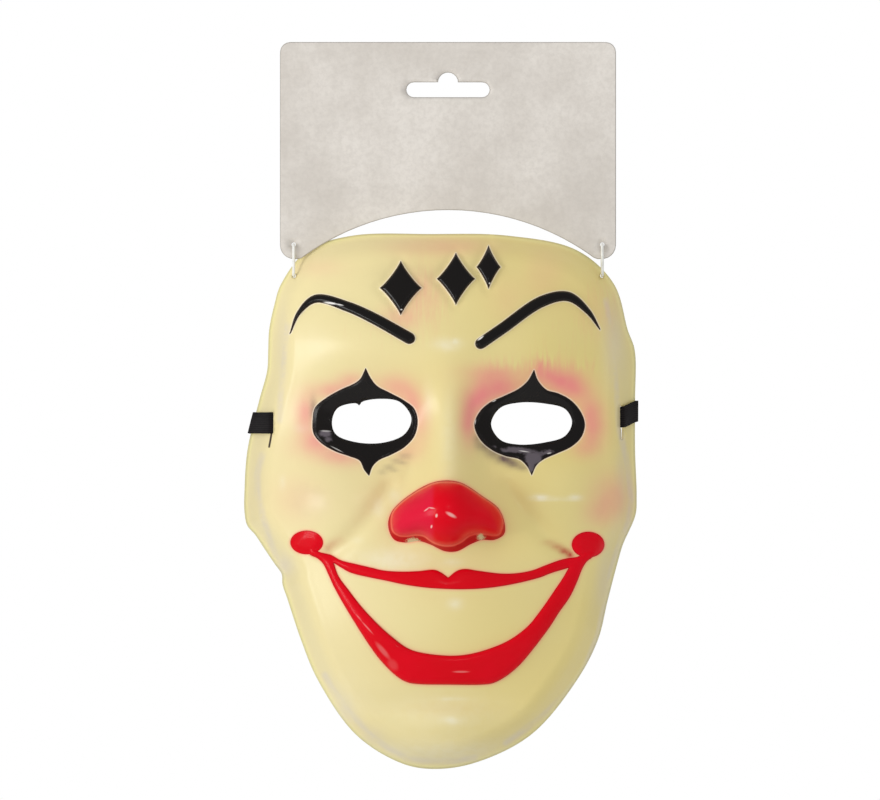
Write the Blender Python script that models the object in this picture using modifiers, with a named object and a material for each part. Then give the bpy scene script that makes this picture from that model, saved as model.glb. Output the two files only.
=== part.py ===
"""A clown mask of thin formed plastic that hangs on its header card.

The face looks along -Y, +Z is up, and +X is on the right of somebody who looks at the face.
The origin is the top of the card's hanging slot, on the card's middle plane.
All lengths are in metres. In the tables, "across" is a share of half the mask's width, from
the middle line, and "down" is a share of the mask's height, from its top.
"""

import math

import bmesh
import bpy
import numpy as np
from mathutils import Vector
from mathutils.geometry import delaunay_2d_cdt

# Mask shell
MASK_HEIGHT = 0.2300
MASK_HALF_WIDTH = 0.0845
MASK_WALL = 0.0008
FACE_DEPTH = 0.0560
SIDE_FALL = 0.0620
SECTION_RADIUS = 0.0980
RIM_RUN = 0.0105
RIM_RISE = 0.0200
FORM_RISE = 0.0100
STEEPEST = 0.05
NOSE_REACH = 0.0140
BRIDGE_REACH = 0.0120
FOLD_DEPTH = 0.0026
FOLD_WIDTH = 0.0042

# Raised, painted features of the shell
EYE_RISE = 0.0012
EYE_EDGE = 0.0012
BROW_WIDTH = 0.0045
BROW_RISE = 0.0020
LIP_RISE = 0.0030
LIP_EDGE = 0.0032
DOT_RISE = 0.0010
DOT_EDGE = 0.0014
LOZENGE_RISE = 0.0016
LOZENGE_EDGE = 0.0020
MOAT_DEPTH = 0.0005
MOAT_WIDTH = 0.0014

# Elastic strap
STRAP_WIDTH = 0.0090
STRAP_THICKNESS = 0.0008
STRAP_TAIL = 0.0140
STRAP_LOOP_REACH = 0.0600
STRAP_LOOP_TILT = math.radians(35)
STRAP_FLARE = 0.0120
SLIT_WIDTH = 0.0022
SLIT_TAIL = 0.0052

# Header card
CARD_HEIGHT = 0.0933
CARD_THICKNESS = 0.0006
CARD_SIDE_MARGIN = 0.0059
CARD_TOP_RADIUS = 0.0043
CARD_FOOT_RADIUS = 0.0060
ARCH_FOOT = 0.0055
ARCH_RISE = 0.0211
SLOT_TOP_MARGIN = 0.0131
SLOT_WIDTH = 0.0358
SLOT_HEIGHT = 0.0064
SLOT_BUMP_WIDTH = 0.0086
SLOT_BUMP_RISE = 0.0042

# Ties between the card and the mask
TIE_DIAMETER = 0.0013
TIE_ACROSS = 0.785
TIE_CARD_INSET = 0.0062
TIE_MASK_INSET = 0.0032
CARD_TO_MASK = 0.0039

CLEARANCE = 0.0003

# The strap lies this far off the shell, and the mask's wall this far behind the card at the ties.
STRAP_GAP = 0.0006
TIE_SETBACK = 0.0030

# Where the strap is as it turns round the rim, in degrees
STRAP_TURNS = (30, 60, 90, 115)

# Spacing of the points on the shell
LATTICE = 0.0062
FEATURE_STEP = 0.0034
RIM_STEP = 0.0056
FINE_STEP = 0.0012
LATTICE_REACH = 1.1
LATTICE_SAMPLES = 400
SPLINE_STEPS = 12

# Rings of points inside the outlines: shares of the rim's run, the lips' edge, the nose's depth,
# the brows' width and the lozenges' edge. The last two are how much of its own distance each
# ring keeps to its outline and to other points.
RIM_RINGS = (0.20, 0.45, 0.70, 1.00)
LIP_RINGS = (0.2, 0.6)
NOSE_RINGS = (0.1, 0.3, 0.6)
BROW_RING = 0.20
LOZENGE_RING = 0.33
RING_ROOM = 0.8
RING_SPACING = 0.7

# The mask's upper edge is the part of its outline above this share of its height.
UPPER_PART = 0.20

# How hollow a lozenge's sides are: 2 is straight.
LOZENGE_HOLLOW = 2.3

# The strap at its slit. Behind the wall: shares of its tail. In the slit: share of half the
# slit's width, share of the way out. Over the wall: shares of the way to the rim.
TAIL_STATIONS = (1.0, 0.7, 0.4, 0.2)
SLIT_STATIONS_IN = ((-1.0, 1.0), (-0.45, 0.8), (-0.12, 0.35))
SLIT_STATIONS_OUT = ((0.2, 0.1), (0.6, 0.8), (1.2, 1.0))
OUTER_STATIONS = (0.35, 0.55, 0.75, 0.9, 1.0)
LOOP_STEPS = 40

# How fast the strap's loop leans over after each rim.
LEAN_RATE = 4

# Points along the shell's section at one height, and how far that section reads the outline.
SKIN_SAMPLES = 80
SKIN_MARGIN = 0.0020
SKIN_REACH = 0.0040

# Levels of a slit's cutter, and how many walls it reaches to each side of the wall.
SLIT_LEVELS = 6
CUTTER_WALLS = 3
DRILL_LENGTH = 0.0300

# A tie keeps every third point of its smooth route.
TIE_THINNING = 3

# The mask's outline from the front, clockwise from the top: across, down.
OUTLINE = (
    (-0.09, 0.000), (0.305, 0.003), (0.656, 0.030), (0.845, 0.093), (0.916, 0.179),
    (0.952, 0.217), (0.954, 0.310), (0.954, 0.404), (0.962, 0.490), (0.956, 0.525),
    (0.891, 0.581), (0.865, 0.613), (0.814, 0.684), (0.763, 0.759), (0.656, 0.834),
    (0.422, 0.936), (0.132, 0.989), (-0.080, 1.000), (-0.239, 0.989), (-0.468, 0.936),
    (-0.662, 0.834), (-0.748, 0.759), (-0.819, 0.681), (-0.843, 0.655), (-0.847, 0.636),
    (-0.879, 0.619), (-0.933, 0.590), (-0.982, 0.563), (-1.024, 0.545), (-1.038, 0.520),
    (-1.038, 0.479), (-1.023, 0.404), (-0.962, 0.310),
    (-0.921, 0.254), (-0.916, 0.217), (-0.911, 0.179), (-0.885, 0.133), (-0.850, 0.093),
    (-0.715, 0.030), (-0.489, 0.003),
)

# How far the face reaches forward on its middle line: down, share of FACE_DEPTH.
PROFILE = (
    (-0.05, 0.70), (0.00, 0.79), (0.08, 0.90), (0.16, 0.965), (0.24, 0.98), (0.33, 0.96),
    (0.45, 0.97), (0.60, 0.99), (0.72, 0.98), (0.82, 0.93), (0.90, 0.87), (0.96, 0.77),
    (1.00, 0.68), (1.05, 0.56),
)

# The rolled rim, inwards from the outline: share of RIM_RUN, share of RIM_RISE.
RIM_SECTION = ((0.00, 0.00), (0.20, 0.17), (0.45, 0.55), (0.70, 0.86), (1.00, 1.00), (1.30, 1.00))

# How much of the rim's rise each height has: down, share.
RIM_BY_HEIGHT = ((-0.05, 0.40), (0.00, 0.42), (0.10, 0.52), (0.25, 0.90), (0.50, 1.00), (0.80, 0.80),
                 (1.00, 0.60), (1.05, 0.60))

# Soft swellings and hollows: across, down, share of half width, share of height, share of FORM_RISE.
FORMS = (
    (-0.42, 0.205, 0.34, 0.050, 0.30),
    (0.42, 0.205, 0.34, 0.050, 0.30),
    (0.00, 0.220, 0.20, 0.060, 0.30),
    (-0.40, 0.350, 0.27, 0.075, -0.85),
    (0.42, 0.350, 0.27, 0.075, -0.85),
    (-0.62, 0.490, 0.27, 0.085, 0.75),
    (0.62, 0.490, 0.27, 0.085, 0.75),
    (0.00, 0.700, 0.50, 0.140, 0.55),
    (0.00, 0.920, 0.24, 0.045, 0.45),
    (0.00, 0.872, 0.34, 0.020, -0.25),
)

# The bridge of the nose: down, half width (share of half the mask's width), share of BRIDGE_REACH.
BRIDGE = (
    (0.20, 0.16, 0.00), (0.27, 0.15, 0.10), (0.33, 0.15, 0.34), (0.40, 0.18, 0.66),
    (0.47, 0.24, 1.00), (0.53, 0.30, 0.95), (0.57, 0.30, 0.45), (0.61, 0.28, 0.05), (0.64, 0.28, 0.00),
)

# Creases from the nose to the corners of the mouth: across, down.
FOLDS = (
    ((-0.300, 0.473), (-0.351, 0.503), (-0.417, 0.536), (-0.499, 0.568), (-0.585, 0.593)),
    ((0.300, 0.473), (0.356, 0.503), (0.430, 0.536), (0.520, 0.568), (0.605, 0.590)),
)

# Painted outlines. Each is made of smooth runs that meet at corners: across, down.
EYE_PAINT = (
    (
        ((-0.418, 0.251), (-0.394, 0.269), (-0.361, 0.284), (-0.295, 0.297), (-0.224, 0.311),
         (-0.173, 0.326), (-0.155, 0.348), (-0.170, 0.376), (-0.219, 0.397), (-0.290, 0.412),
         (-0.351, 0.422), (-0.384, 0.434), (-0.401, 0.451)),
        ((-0.401, 0.451), (-0.425, 0.440), (-0.448, 0.423), (-0.499, 0.415), (-0.570, 0.406),
         (-0.641, 0.391), (-0.682, 0.373), (-0.687, 0.346), (-0.674, 0.324), (-0.621, 0.307),
         (-0.545, 0.291), (-0.478, 0.280), (-0.445, 0.271), (-0.418, 0.251)),
    ),
    (
        ((0.437, 0.254), (0.455, 0.273), (0.499, 0.291), (0.560, 0.298), (0.621, 0.310),
         (0.672, 0.331), (0.695, 0.355), (0.677, 0.379), (0.626, 0.397), (0.550, 0.410),
         (0.483, 0.421), (0.448, 0.432), (0.425, 0.450)),
        ((0.425, 0.450), (0.405, 0.435), (0.366, 0.421), (0.290, 0.414), (0.219, 0.402),
         (0.163, 0.383), (0.135, 0.357), (0.158, 0.334), (0.209, 0.316), (0.290, 0.302),
         (0.361, 0.289), (0.407, 0.274), (0.437, 0.254)),
    ),
)
EYE_HOLES = (
    ((-0.590, 0.350), (-0.560, 0.325), (-0.463, 0.317), (-0.346, 0.308), (-0.244, 0.314),
     (-0.186, 0.344), (-0.219, 0.373), (-0.321, 0.389), (-0.463, 0.389), (-0.570, 0.374)),
    ((0.219, 0.355), (0.265, 0.325), (0.366, 0.315), (0.494, 0.317), (0.595, 0.327),
     (0.631, 0.351), (0.595, 0.377), (0.494, 0.389), (0.356, 0.393), (0.265, 0.384)),
)
NOSE_TIP = (-0.005, 0.535)
NOSE_PAINT = (
    ((0.290, 0.546), (0.283, 0.561), (0.234, 0.571), (0.173, 0.571), (0.120, 0.578),
     (0.046, 0.592), (-0.015, 0.592), (-0.092, 0.579), (-0.148, 0.573), (-0.214, 0.576),
     (-0.275, 0.570), (-0.304, 0.545), (-0.285, 0.518), (-0.183, 0.484), (-0.060, 0.462),
     (0.056, 0.463), (0.178, 0.490), (0.260, 0.514), (0.290, 0.546)),
)
MOUTH_OUTER = (
    ((-0.700, 0.585), (-0.650, 0.594), (-0.595, 0.599), (-0.544, 0.609), (-0.468, 0.616),
     (-0.397, 0.622), (-0.325, 0.628), (-0.232, 0.630), (-0.149, 0.629), (-0.071, 0.6265),
     (-0.038, 0.631), (0.001, 0.641)),
    ((0.001, 0.641), (0.045, 0.6285), (0.084, 0.625), (0.155, 0.6285), (0.266, 0.6335),
     (0.348, 0.633), (0.429, 0.6275), (0.497, 0.618), (0.565, 0.609), (0.611, 0.605),
     (0.662, 0.602), (0.715, 0.590)),
    ((0.715, 0.590), (0.758, 0.597), (0.733, 0.604), (0.705, 0.612), (0.684, 0.624),
     (0.653, 0.652), (0.617, 0.679), (0.565, 0.706), (0.518, 0.733), (0.468, 0.758),
     (0.431, 0.7755), (0.365, 0.804), (0.293, 0.826), (0.227, 0.8385), (0.177, 0.841),
     (-0.011, 0.841), (-0.149, 0.840), (-0.204, 0.837), (-0.259, 0.826), (-0.342, 0.796),
     (-0.397, 0.769), (-0.514, 0.701), (-0.580, 0.658), (-0.612, 0.632), (-0.634, 0.616),
     (-0.662, 0.606), (-0.707, 0.597), (-0.700, 0.585)),
)
MOUTH_INNER = (
    ((0.612, 0.6235), (0.524, 0.633), (0.468, 0.641), (0.348, 0.652), (0.238, 0.659),
     (0.127, 0.6625), (0.001, 0.6625), (-0.121, 0.6595), (-0.232, 0.6535), (-0.314, 0.647),
     (-0.397, 0.641), (-0.496, 0.632), (-0.546, 0.622), (-0.580, 0.6145)),
    ((-0.580, 0.6145), (-0.557, 0.638), (-0.502, 0.666), (-0.436, 0.697), (-0.358, 0.7275),
     (-0.287, 0.751), (-0.209, 0.772), (-0.149, 0.780), (-0.011, 0.7865), (0.088, 0.785),
     (0.199, 0.775), (0.309, 0.758), (0.403, 0.7325), (0.468, 0.7035), (0.543, 0.664),
     (0.585, 0.641), (0.612, 0.6235)),
)

# How much of the lips' rise each height has: down, share.
LIP_BY_HEIGHT = ((0.55, 0.45), (0.66, 0.50), (0.72, 0.80), (0.78, 1.00), (0.85, 1.00))

# The dots at the corners of the mouth: across, down, half width, half height.
CHEEK_DOTS = ((-0.718, 0.576, 0.084, 0.0224), (0.712, 0.580, 0.084, 0.0243))

# The brows' middle lines: across, down, share of BROW_WIDTH.
BROWS = (
    ((-0.804, 0.187, 0.05), (-0.758, 0.147, 0.35), (-0.672, 0.121, 0.73), (-0.509, 0.136, 0.92),
     (-0.387, 0.156, 1.00), (-0.196, 0.195, 1.06)),
    ((0.774, 0.179, 0.05), (0.712, 0.145, 0.48), (0.611, 0.117, 0.87), (0.478, 0.126, 1.02),
     (0.275, 0.177, 1.00), (0.165, 0.205, 1.00)),
)

# Lozenges on the forehead: across, down, half width, half height.
LOZENGES = ((-0.240, 0.101, 0.105, 0.050), (0.040, 0.084, 0.096, 0.048), (0.206, 0.062, 0.060, 0.040))

# Where the strap passes each side: across of the slit, down of the strap's middle, and its rise
# for each length outwards.
STRAP_SIDES = ((-0.896, 0.353, 0.00), (0.883, 0.342, 0.13))


def material(name, colour, roughness):
    made = bpy.data.materials.new(name)
    made.use_nodes = True
    shader = made.node_tree.nodes["Principled BSDF"]
    shader.inputs["Base Color"].default_value = (*colour, 1)
    shader.inputs["Roughness"].default_value = roughness
    return made


def smooth_table(rows, at, column=1):
    """The value of a table's smooth curve at each place, where column 0 holds the places."""
    places = np.array([row[0] for row in rows])
    values = np.array([row[column] for row in rows])
    slopes = np.gradient(values, places)
    index = np.clip(np.searchsorted(places, at) - 1, 0, len(places) - 2)
    width = places[index + 1] - places[index]
    t = np.clip((at - places[index]) / width, 0, 1)
    rise = values[index + 1] - values[index]
    return (
        values[index]
        + rise * t * t * (3 - 2 * t)
        + width * slopes[index] * t * (1 - t) ** 2
        - width * slopes[index + 1] * t * t * (1 - t)
    )


def spline(points, closed):
    """A centripetal Catmull-Rom curve through the points, as many short steps."""
    points = np.array(points, float)
    if closed:
        padded = np.vstack((points[-1], points, points[0], points[1]))
    else:
        padded = np.vstack((2 * points[0] - points[1], points, 2 * points[-1] - points[-2]))
    steps = np.linspace(0, 1, SPLINE_STEPS, endpoint=False)[:, None]
    made = []
    for before, start, end, after in zip(padded, padded[1:], padded[2:], padded[3:]):
        chords = (start - before, end - start, after - end)
        knots = np.cumsum([0, *(np.linalg.norm(chord) ** 0.5 for chord in chords)])
        t = knots[1] + (knots[2] - knots[1]) * steps
        a1 = before + (start - before) * (t - knots[0]) / (knots[1] - knots[0])
        a2 = start + (end - start) * (t - knots[1]) / (knots[2] - knots[1])
        a3 = end + (after - end) * (t - knots[2]) / (knots[3] - knots[2])
        b1 = a1 + (a2 - a1) * (t - knots[0]) / (knots[2] - knots[0])
        b2 = a2 + (a3 - a2) * (t - knots[1]) / (knots[3] - knots[1])
        made.append(b1 + (b2 - b1) * (t - knots[1]) / (knots[2] - knots[1]))
    if not closed:
        made.append(points[-1:])
    return np.vstack(made)


def evenly(line, step, closed):
    """Points about one step apart along a line."""
    if closed:
        line = np.vstack((line, line[:1]))
    lengths = np.concatenate(([0], np.cumsum(np.linalg.norm(np.diff(line, axis=0), axis=1))))
    count = max(3 if closed else 1, round(lengths[-1] / step))
    places = np.linspace(0, lengths[-1], count + 1)
    if closed:
        places = places[:-1]
    return np.column_stack([np.interp(places, lengths, line[:, axis]) for axis in (0, 1)])


# The mask hangs this far under the card, and ties join them where its outline turns down.
CARD_FOOT = SLOT_TOP_MARGIN - CARD_HEIGHT


def outline_down(across):
    """How far down the mask's upper edge is at a place across."""
    line = spline(OUTLINE, closed=True)
    upper = line[line[:, 1] < UPPER_PART]
    upper = upper[np.argsort(upper[:, 0])]
    return float(np.interp(across, upper[:, 0], upper[:, 1]))


TIE_DROP = max(outline_down(TIE_ACROSS), outline_down(-TIE_ACROSS)) * MASK_HEIGHT
MASK_TOP = CARD_FOOT - CARD_TO_MASK + TIE_DROP


def placed(points):
    """Front view positions (x, z) of points given as shares across and down."""
    points = np.array(points, float)
    return np.column_stack((points[:, 0] * MASK_HALF_WIDTH, MASK_TOP - points[:, 1] * MASK_HEIGHT))


def cornered_loop(runs, step):
    """A closed loop of smooth runs that meet at corners."""
    if len(runs) == 1:
        return evenly(spline(placed(runs[0][:-1]), closed=True), step, closed=True)
    lines = [spline(placed(run), closed=False) for run in runs]
    return np.vstack([evenly(line, step, closed=False)[:-1] for line in lines])


def ellipse_loop(across, down, half_width, half_height, step):
    centre = placed([(across, down)])[0]
    radii = np.array((half_width * MASK_HALF_WIDTH, half_height * MASK_HEIGHT))
    count = max(8, round(2 * math.pi * radii.mean() / step))
    turns = np.arange(count) * 2 * math.pi / count
    return centre + radii * np.column_stack((np.sin(turns), np.cos(turns)))


def lozenge_loop(across, down, half_width, half_height, step):
    """A lozenge with slightly hollow sides."""
    centre = placed([(across, down)])[0]
    radii = np.array((half_width * MASK_HALF_WIDTH, half_height * MASK_HEIGHT))
    count = 4 * max(2, round(np.linalg.norm(radii) / step))
    turns = np.arange(count) * 2 * math.pi / count
    shape = np.column_stack((np.sin(turns), np.cos(turns)))
    return centre + radii * np.sign(shape) * np.abs(shape) ** LOZENGE_HOLLOW


def brow_loop(rows, step):
    """The outline of a brow that is pointed at its outer end and round at its inner end."""
    rows = np.array(rows)
    middle = spline(placed(rows[:, :2]), closed=False)
    shares = np.interp(np.linspace(0, 1, len(middle)), np.linspace(0, 1, len(rows)), rows[:, 2])
    half = shares * BROW_WIDTH / 2
    along = np.gradient(middle, axis=0)
    along /= np.linalg.norm(along, axis=1)[:, None]
    beside = np.column_stack((-along[:, 1], along[:, 0]))
    turns = np.linspace(0, math.pi, 9)[1:-1, None]
    end = middle[-1] + half[-1] * (np.cos(turns) * beside[-1] + np.sin(turns) * along[-1])
    line = np.vstack((middle + half[:, None] * beside, end, (middle - half[:, None] * beside)[::-1]))
    return evenly(line, step, closed=True)


def segments_from(line, closed):
    """Start points and steps of a line's segments."""
    ends = np.roll(line, -1, axis=0) if closed else line[1:]
    starts = line if closed else line[:-1]
    return starts, ends - starts


def distance(points, line, closed=True):
    """How far each point is from a line."""
    starts, steps = segments_from(line, closed)
    lengths = np.maximum((steps**2).sum(axis=1), 1e-18)
    best = np.full(len(points), np.inf)
    for start, step, length in zip(starts, steps, lengths):
        t = np.clip((points - start) @ step / length, 0, 1)
        gap = points - start - t[:, None] * step
        best = np.minimum(best, (gap**2).sum(axis=1))
    return np.sqrt(best)


def inside(points, loop):
    """Whether each point is inside a closed loop."""
    found = np.zeros(len(points), bool)
    for (x1, z1), (x2, z2) in zip(loop, np.roll(loop, -1, axis=0)):
        if z1 == z2:
            continue
        crosses = (z1 > points[:, 1]) != (z2 > points[:, 1])
        found ^= crosses & (points[:, 0] < x1 + (points[:, 1] - z1) * (x2 - x1) / (z2 - z1))
    return found


def depth_inside(points, loop):
    """Distance to a closed loop, positive inside it and negative outside."""
    return np.where(inside(points, loop), 1, -1) * distance(points, loop)


def soft_depth(points, loop):
    """Like the depth inside a loop, but with no crease along the loop's middle line."""
    total = np.zeros(len(points))
    for start, end in zip(loop, np.roll(loop, -1, axis=0)):
        step = end - start
        length = np.linalg.norm(step)
        along = (points - start) @ step / length
        height = np.abs(np.cross(step / length, points - start))
        height = np.maximum(height, 1e-5)
        for sign, reach in ((1, along), (-1, along - length)):
            bend = reach / (reach**2 + height**2) + np.arctan(reach / height) / height
            total += sign * bend / (2 * height**2)
    return np.where(inside(points, loop), (2 * np.abs(total) / math.pi) ** (-1 / 3), 0)


def ramp(t):
    t = np.clip(t, 0, 1)
    return t * t * (3 - 2 * t)


def dome(t):
    """Rises steeply from 0, like a quarter circle, and is level at 1."""
    return np.sqrt(1 - (1 - np.clip(t, 0, 1)) ** 2)


def mask_loops(step):
    """Every outline on the shell, at one spacing."""
    return {
        "outline": evenly(spline(placed(OUTLINE), closed=True), step, closed=True),
        "eyes": [cornered_loop(runs, step) for runs in EYE_PAINT],
        "holes": [evenly(spline(placed(hole), closed=True), step, closed=True) for hole in EYE_HOLES],
        "nose": cornered_loop(NOSE_PAINT, step),
        "mouth": cornered_loop(MOUTH_OUTER, step),
        "mouth_gap": cornered_loop(MOUTH_INNER, step),
        "dots": [ellipse_loop(*dot, step) for dot in CHEEK_DOTS],
        "brows": [brow_loop(brow, step) for brow in BROWS],
        "lozenges": [lozenge_loop(*lozenge, step) for lozenge in LOZENGES],
    }


FINE = mask_loops(FINE_STEP)
FOLD_LINES = [spline(placed(fold), closed=False) for fold in FOLDS]
NOSE_FULL_DEPTH = float(soft_depth(placed([NOSE_TIP]), FINE["nose"])[0])


def broad_reach(points):
    """How far the plain face, with no features, reaches in front of the mask's back plane."""
    across = points[:, 0] / MASK_HALF_WIDTH
    down = (MASK_TOP - points[:, 1]) / MASK_HEIGHT
    reach = FACE_DEPTH * smooth_table(PROFILE, down)
    level = np.sqrt(np.maximum(1 - (points[:, 0] / SECTION_RADIUS) ** 2, STEEPEST))
    reach -= SIDE_FALL * (1 - level)
    for middle, height, wide, high, rise in FORMS:
        away = ((across - middle) / wide) ** 2 + ((down - height) / high) ** 2
        reach += FORM_RISE * rise * np.exp(-away)
    for fold in FOLD_LINES:
        reach -= FOLD_DEPTH * np.exp(-((distance(points, fold, closed=False) / FOLD_WIDTH) ** 2))
    half_bridge = smooth_table(BRIDGE, down)
    bridge = smooth_table(BRIDGE, down, column=2)
    reach += BRIDGE_REACH * bridge * (1 - np.clip(np.abs(across / half_bridge), 0, 1) ** 2) ** 2
    edge = np.maximum(depth_inside(points, FINE["outline"]), 0) / RIM_RUN
    rim_rise = RIM_RISE * smooth_table(RIM_BY_HEIGHT, down)
    return reach - rim_rise * (1 - smooth_table(RIM_SECTION, edge))


def mouth_depth(points):
    """How deep each point is in the lips' paint, negative outside it."""
    return np.minimum(depth_inside(points, FINE["mouth"]), -depth_inside(points, FINE["mouth_gap"]))


def mouth_reach(points):
    """The lips and the dots at their corners. They run into each other, so the higher one counts."""
    down = (MASK_TOP - points[:, 1]) / MASK_HEIGHT
    lips = LIP_RISE * smooth_table(LIP_BY_HEIGHT, down) * dome(mouth_depth(points) / LIP_EDGE)
    dots = [DOT_RISE * ramp(depth_inside(points, dot) / DOT_EDGE) for dot in FINE["dots"]]
    return np.max([lips, *dots], axis=0)


def feature_reach(points):
    """What the nose, eyes, brows, lozenges and mouth add to the plain face."""
    reach = NOSE_REACH * dome(soft_depth(points, FINE["nose"]) / NOSE_FULL_DEPTH)
    for eye in FINE["eyes"]:
        reach += EYE_RISE * ramp(depth_inside(points, eye) / EYE_EDGE)
    for brow in FINE["brows"]:
        reach += BROW_RISE * dome(depth_inside(points, brow) / (BROW_WIDTH / 2))
    for lozenge in FINE["lozenges"]:
        depth = depth_inside(points, lozenge)
        reach += LOZENGE_RISE * dome(depth / LOZENGE_EDGE)
        reach -= MOAT_DEPTH * np.exp(-(((depth + MOAT_WIDTH) / MOAT_WIDTH) ** 2)) * (depth < 0)
    return reach + mouth_reach(points)


def mask_reach(points):
    return broad_reach(points) + feature_reach(points)


TIE_X = TIE_ACROSS * MASK_HALF_WIDTH
TIE_MASK_Z = CARD_FOOT - CARD_TO_MASK - TIE_MASK_INSET
TIE_CARD_Z = CARD_FOOT + TIE_CARD_INSET

# The mask's wall is just behind the card where the ties go through it, so the card laps over
# the mask's corners.
BACK_PLANE = float(mask_reach(np.array([(TIE_X, TIE_MASK_Z)]))[0]) + TIE_SETBACK


def on_face(points):
    """Positions (x, y, z) on the mask's outer surface of front view positions (x, z)."""
    return np.column_stack((points[:, 0], BACK_PLANE - mask_reach(points), points[:, 1]))


def inwards(loop, amount):
    """The loop's points moved inwards, or outwards if the amount is below 0.

    Those that come too near another side are left out.
    """
    along = np.roll(loop, -1, axis=0) - np.roll(loop, 1, axis=0)
    beside = np.column_stack((along[:, 1], -along[:, 0]))
    beside /= np.maximum(np.linalg.norm(beside, axis=1), 1e-9)[:, None]
    area = np.cross(loop, np.roll(loop, -1, axis=0)).sum()
    moved = loop + beside * amount * (-1 if area > 0 else 1)
    return moved[depth_inside(moved, loop) / amount > RING_ROOM]


def shell_layout():
    """Front view points, the edges between them that the triangles must keep, the rim and the eye holes."""
    loops = mask_loops(FEATURE_STEP)
    rim = evenly(FINE["outline"], RIM_STEP, closed=True)
    kept_lines = [rim, *loops["holes"], *loops["eyes"], loops["nose"], loops["mouth"], loops["mouth_gap"]]
    kept_lines += [*loops["dots"], *loops["brows"], *loops["lozenges"]]
    points = []
    edges = []
    for line in kept_lines:
        first = len(points)
        points.extend(line)
        edges.extend((first + i, first + (i + 1) % len(line)) for i in range(len(line)))
    rings = [(rim, RIM_RUN * share) for share in RIM_RINGS]
    rings += [(eye, EYE_EDGE) for eye in loops["eyes"]]
    rings += [(dot, DOT_EDGE) for dot in loops["dots"]]
    rings += [(brow, BROW_WIDTH * BROW_RING) for brow in loops["brows"]]
    rings += [(lozenge, LOZENGE_EDGE * LOZENGE_RING) for lozenge in loops["lozenges"]]
    for share in LIP_RINGS:
        rings += [(loops["mouth"], LIP_EDGE * share), (loops["mouth_gap"], -LIP_EDGE * share)]
    rings += [(loops["nose"], NOSE_FULL_DEPTH * share) for share in NOSE_RINGS]
    for line, amount in rings:
        room = min(RING_SPACING * abs(amount), FEATURE_STEP / 3)
        points.extend(thinned(inwards(line, amount), points, room))
    points.extend(thinned(lattice(), points, FEATURE_STEP))
    return points, edges, rim, loops["holes"]


def lattice():
    """A lattice of points inside the mask's rim, closer together where the face turns away at its sides."""
    points = []
    row_step = LATTICE * math.sqrt(0.75)
    edge = LATTICE_REACH * MASK_HALF_WIDTH
    turned = np.linspace(-edge, edge, LATTICE_SAMPLES)
    lengths = np.cumsum(np.sqrt(1 + (LATTICE_REACH * turned / MASK_HALF_WIDTH) ** 4))
    lengths *= turned[1] - turned[0]
    for row in range(math.ceil(MASK_HEIGHT / row_step)):
        places = np.arange(row % 2 * LATTICE / 2, lengths[-1], LATTICE)
        across = np.interp(places, lengths, turned)
        level = np.full(len(across), MASK_TOP - (row + 0.5) * row_step)
        points.append(np.column_stack((across, level)))
    points = np.vstack(points)
    return points[depth_inside(points, FINE["outline"]) > RIM_RUN + LATTICE / 2]


def thinned(points, taken, least):
    """The points that are no nearer than the least distance to one that is taken."""
    if len(points) == 0:
        return points
    gaps = np.linalg.norm(points[:, None] - np.array(taken)[None], axis=2).min(axis=1)
    return points[gaps > least]


def collection(name):
    made = bpy.data.collections.new(name)
    bpy.context.scene.collection.children.link(made)
    return made


def mesh_object(name, points, faces, home):
    mesh = bpy.data.meshes.new(name)
    mesh.from_pydata([tuple(point) for point in points], [], [tuple(face) for face in faces])
    made = bpy.data.objects.new(name, mesh)
    home.objects.link(made)
    return made


def thicken(target, thickness, offset):
    solid = target.modifiers.new("Wall", "SOLIDIFY")
    solid.thickness = thickness
    solid.offset = offset


def cut(target, cutter):
    boolean = target.modifiers.new("Cut " + cutter.name, "BOOLEAN")
    boolean.operation = "DIFFERENCE"
    boolean.solver = "EXACT"
    boolean.object = cutter
    cutter.hide_render = True
    cutter.display_type = "WIRE"


def skin_line(side, z):
    """The outer surface at one height, from inside of the strap's slit to the rim.

    It gives the points and outward normals (x, y), and their places along it from the slit.
    """
    slit = STRAP_SIDES[side][0] * MASK_HALF_WIDTH
    line = spline(placed(OUTLINE), closed=True)
    near = line[(np.abs(line[:, 1] - z) < SKIN_REACH) & (line[:, 0] * slit > 0)]
    near = near[np.argsort(near[:, 1])]
    rim = float(np.interp(z, near[:, 1], near[:, 0]))
    across = np.linspace(slit - math.copysign(STRAP_TAIL + SKIN_MARGIN, slit), rim, SKIN_SAMPLES)
    face = on_face(np.column_stack((across, np.full(SKIN_SAMPLES, z))))[:, :2]
    along = np.gradient(face, axis=0)
    along /= np.linalg.norm(along, axis=1)[:, None]
    normals = np.column_stack((along[:, 1], -along[:, 0])) * math.copysign(1, slit)
    lengths = np.concatenate(([0], np.cumsum(np.linalg.norm(np.diff(face, axis=0), axis=1))))
    zero = np.interp(abs(slit), np.abs(across), lengths)
    return face, normals, lengths - zero


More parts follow.
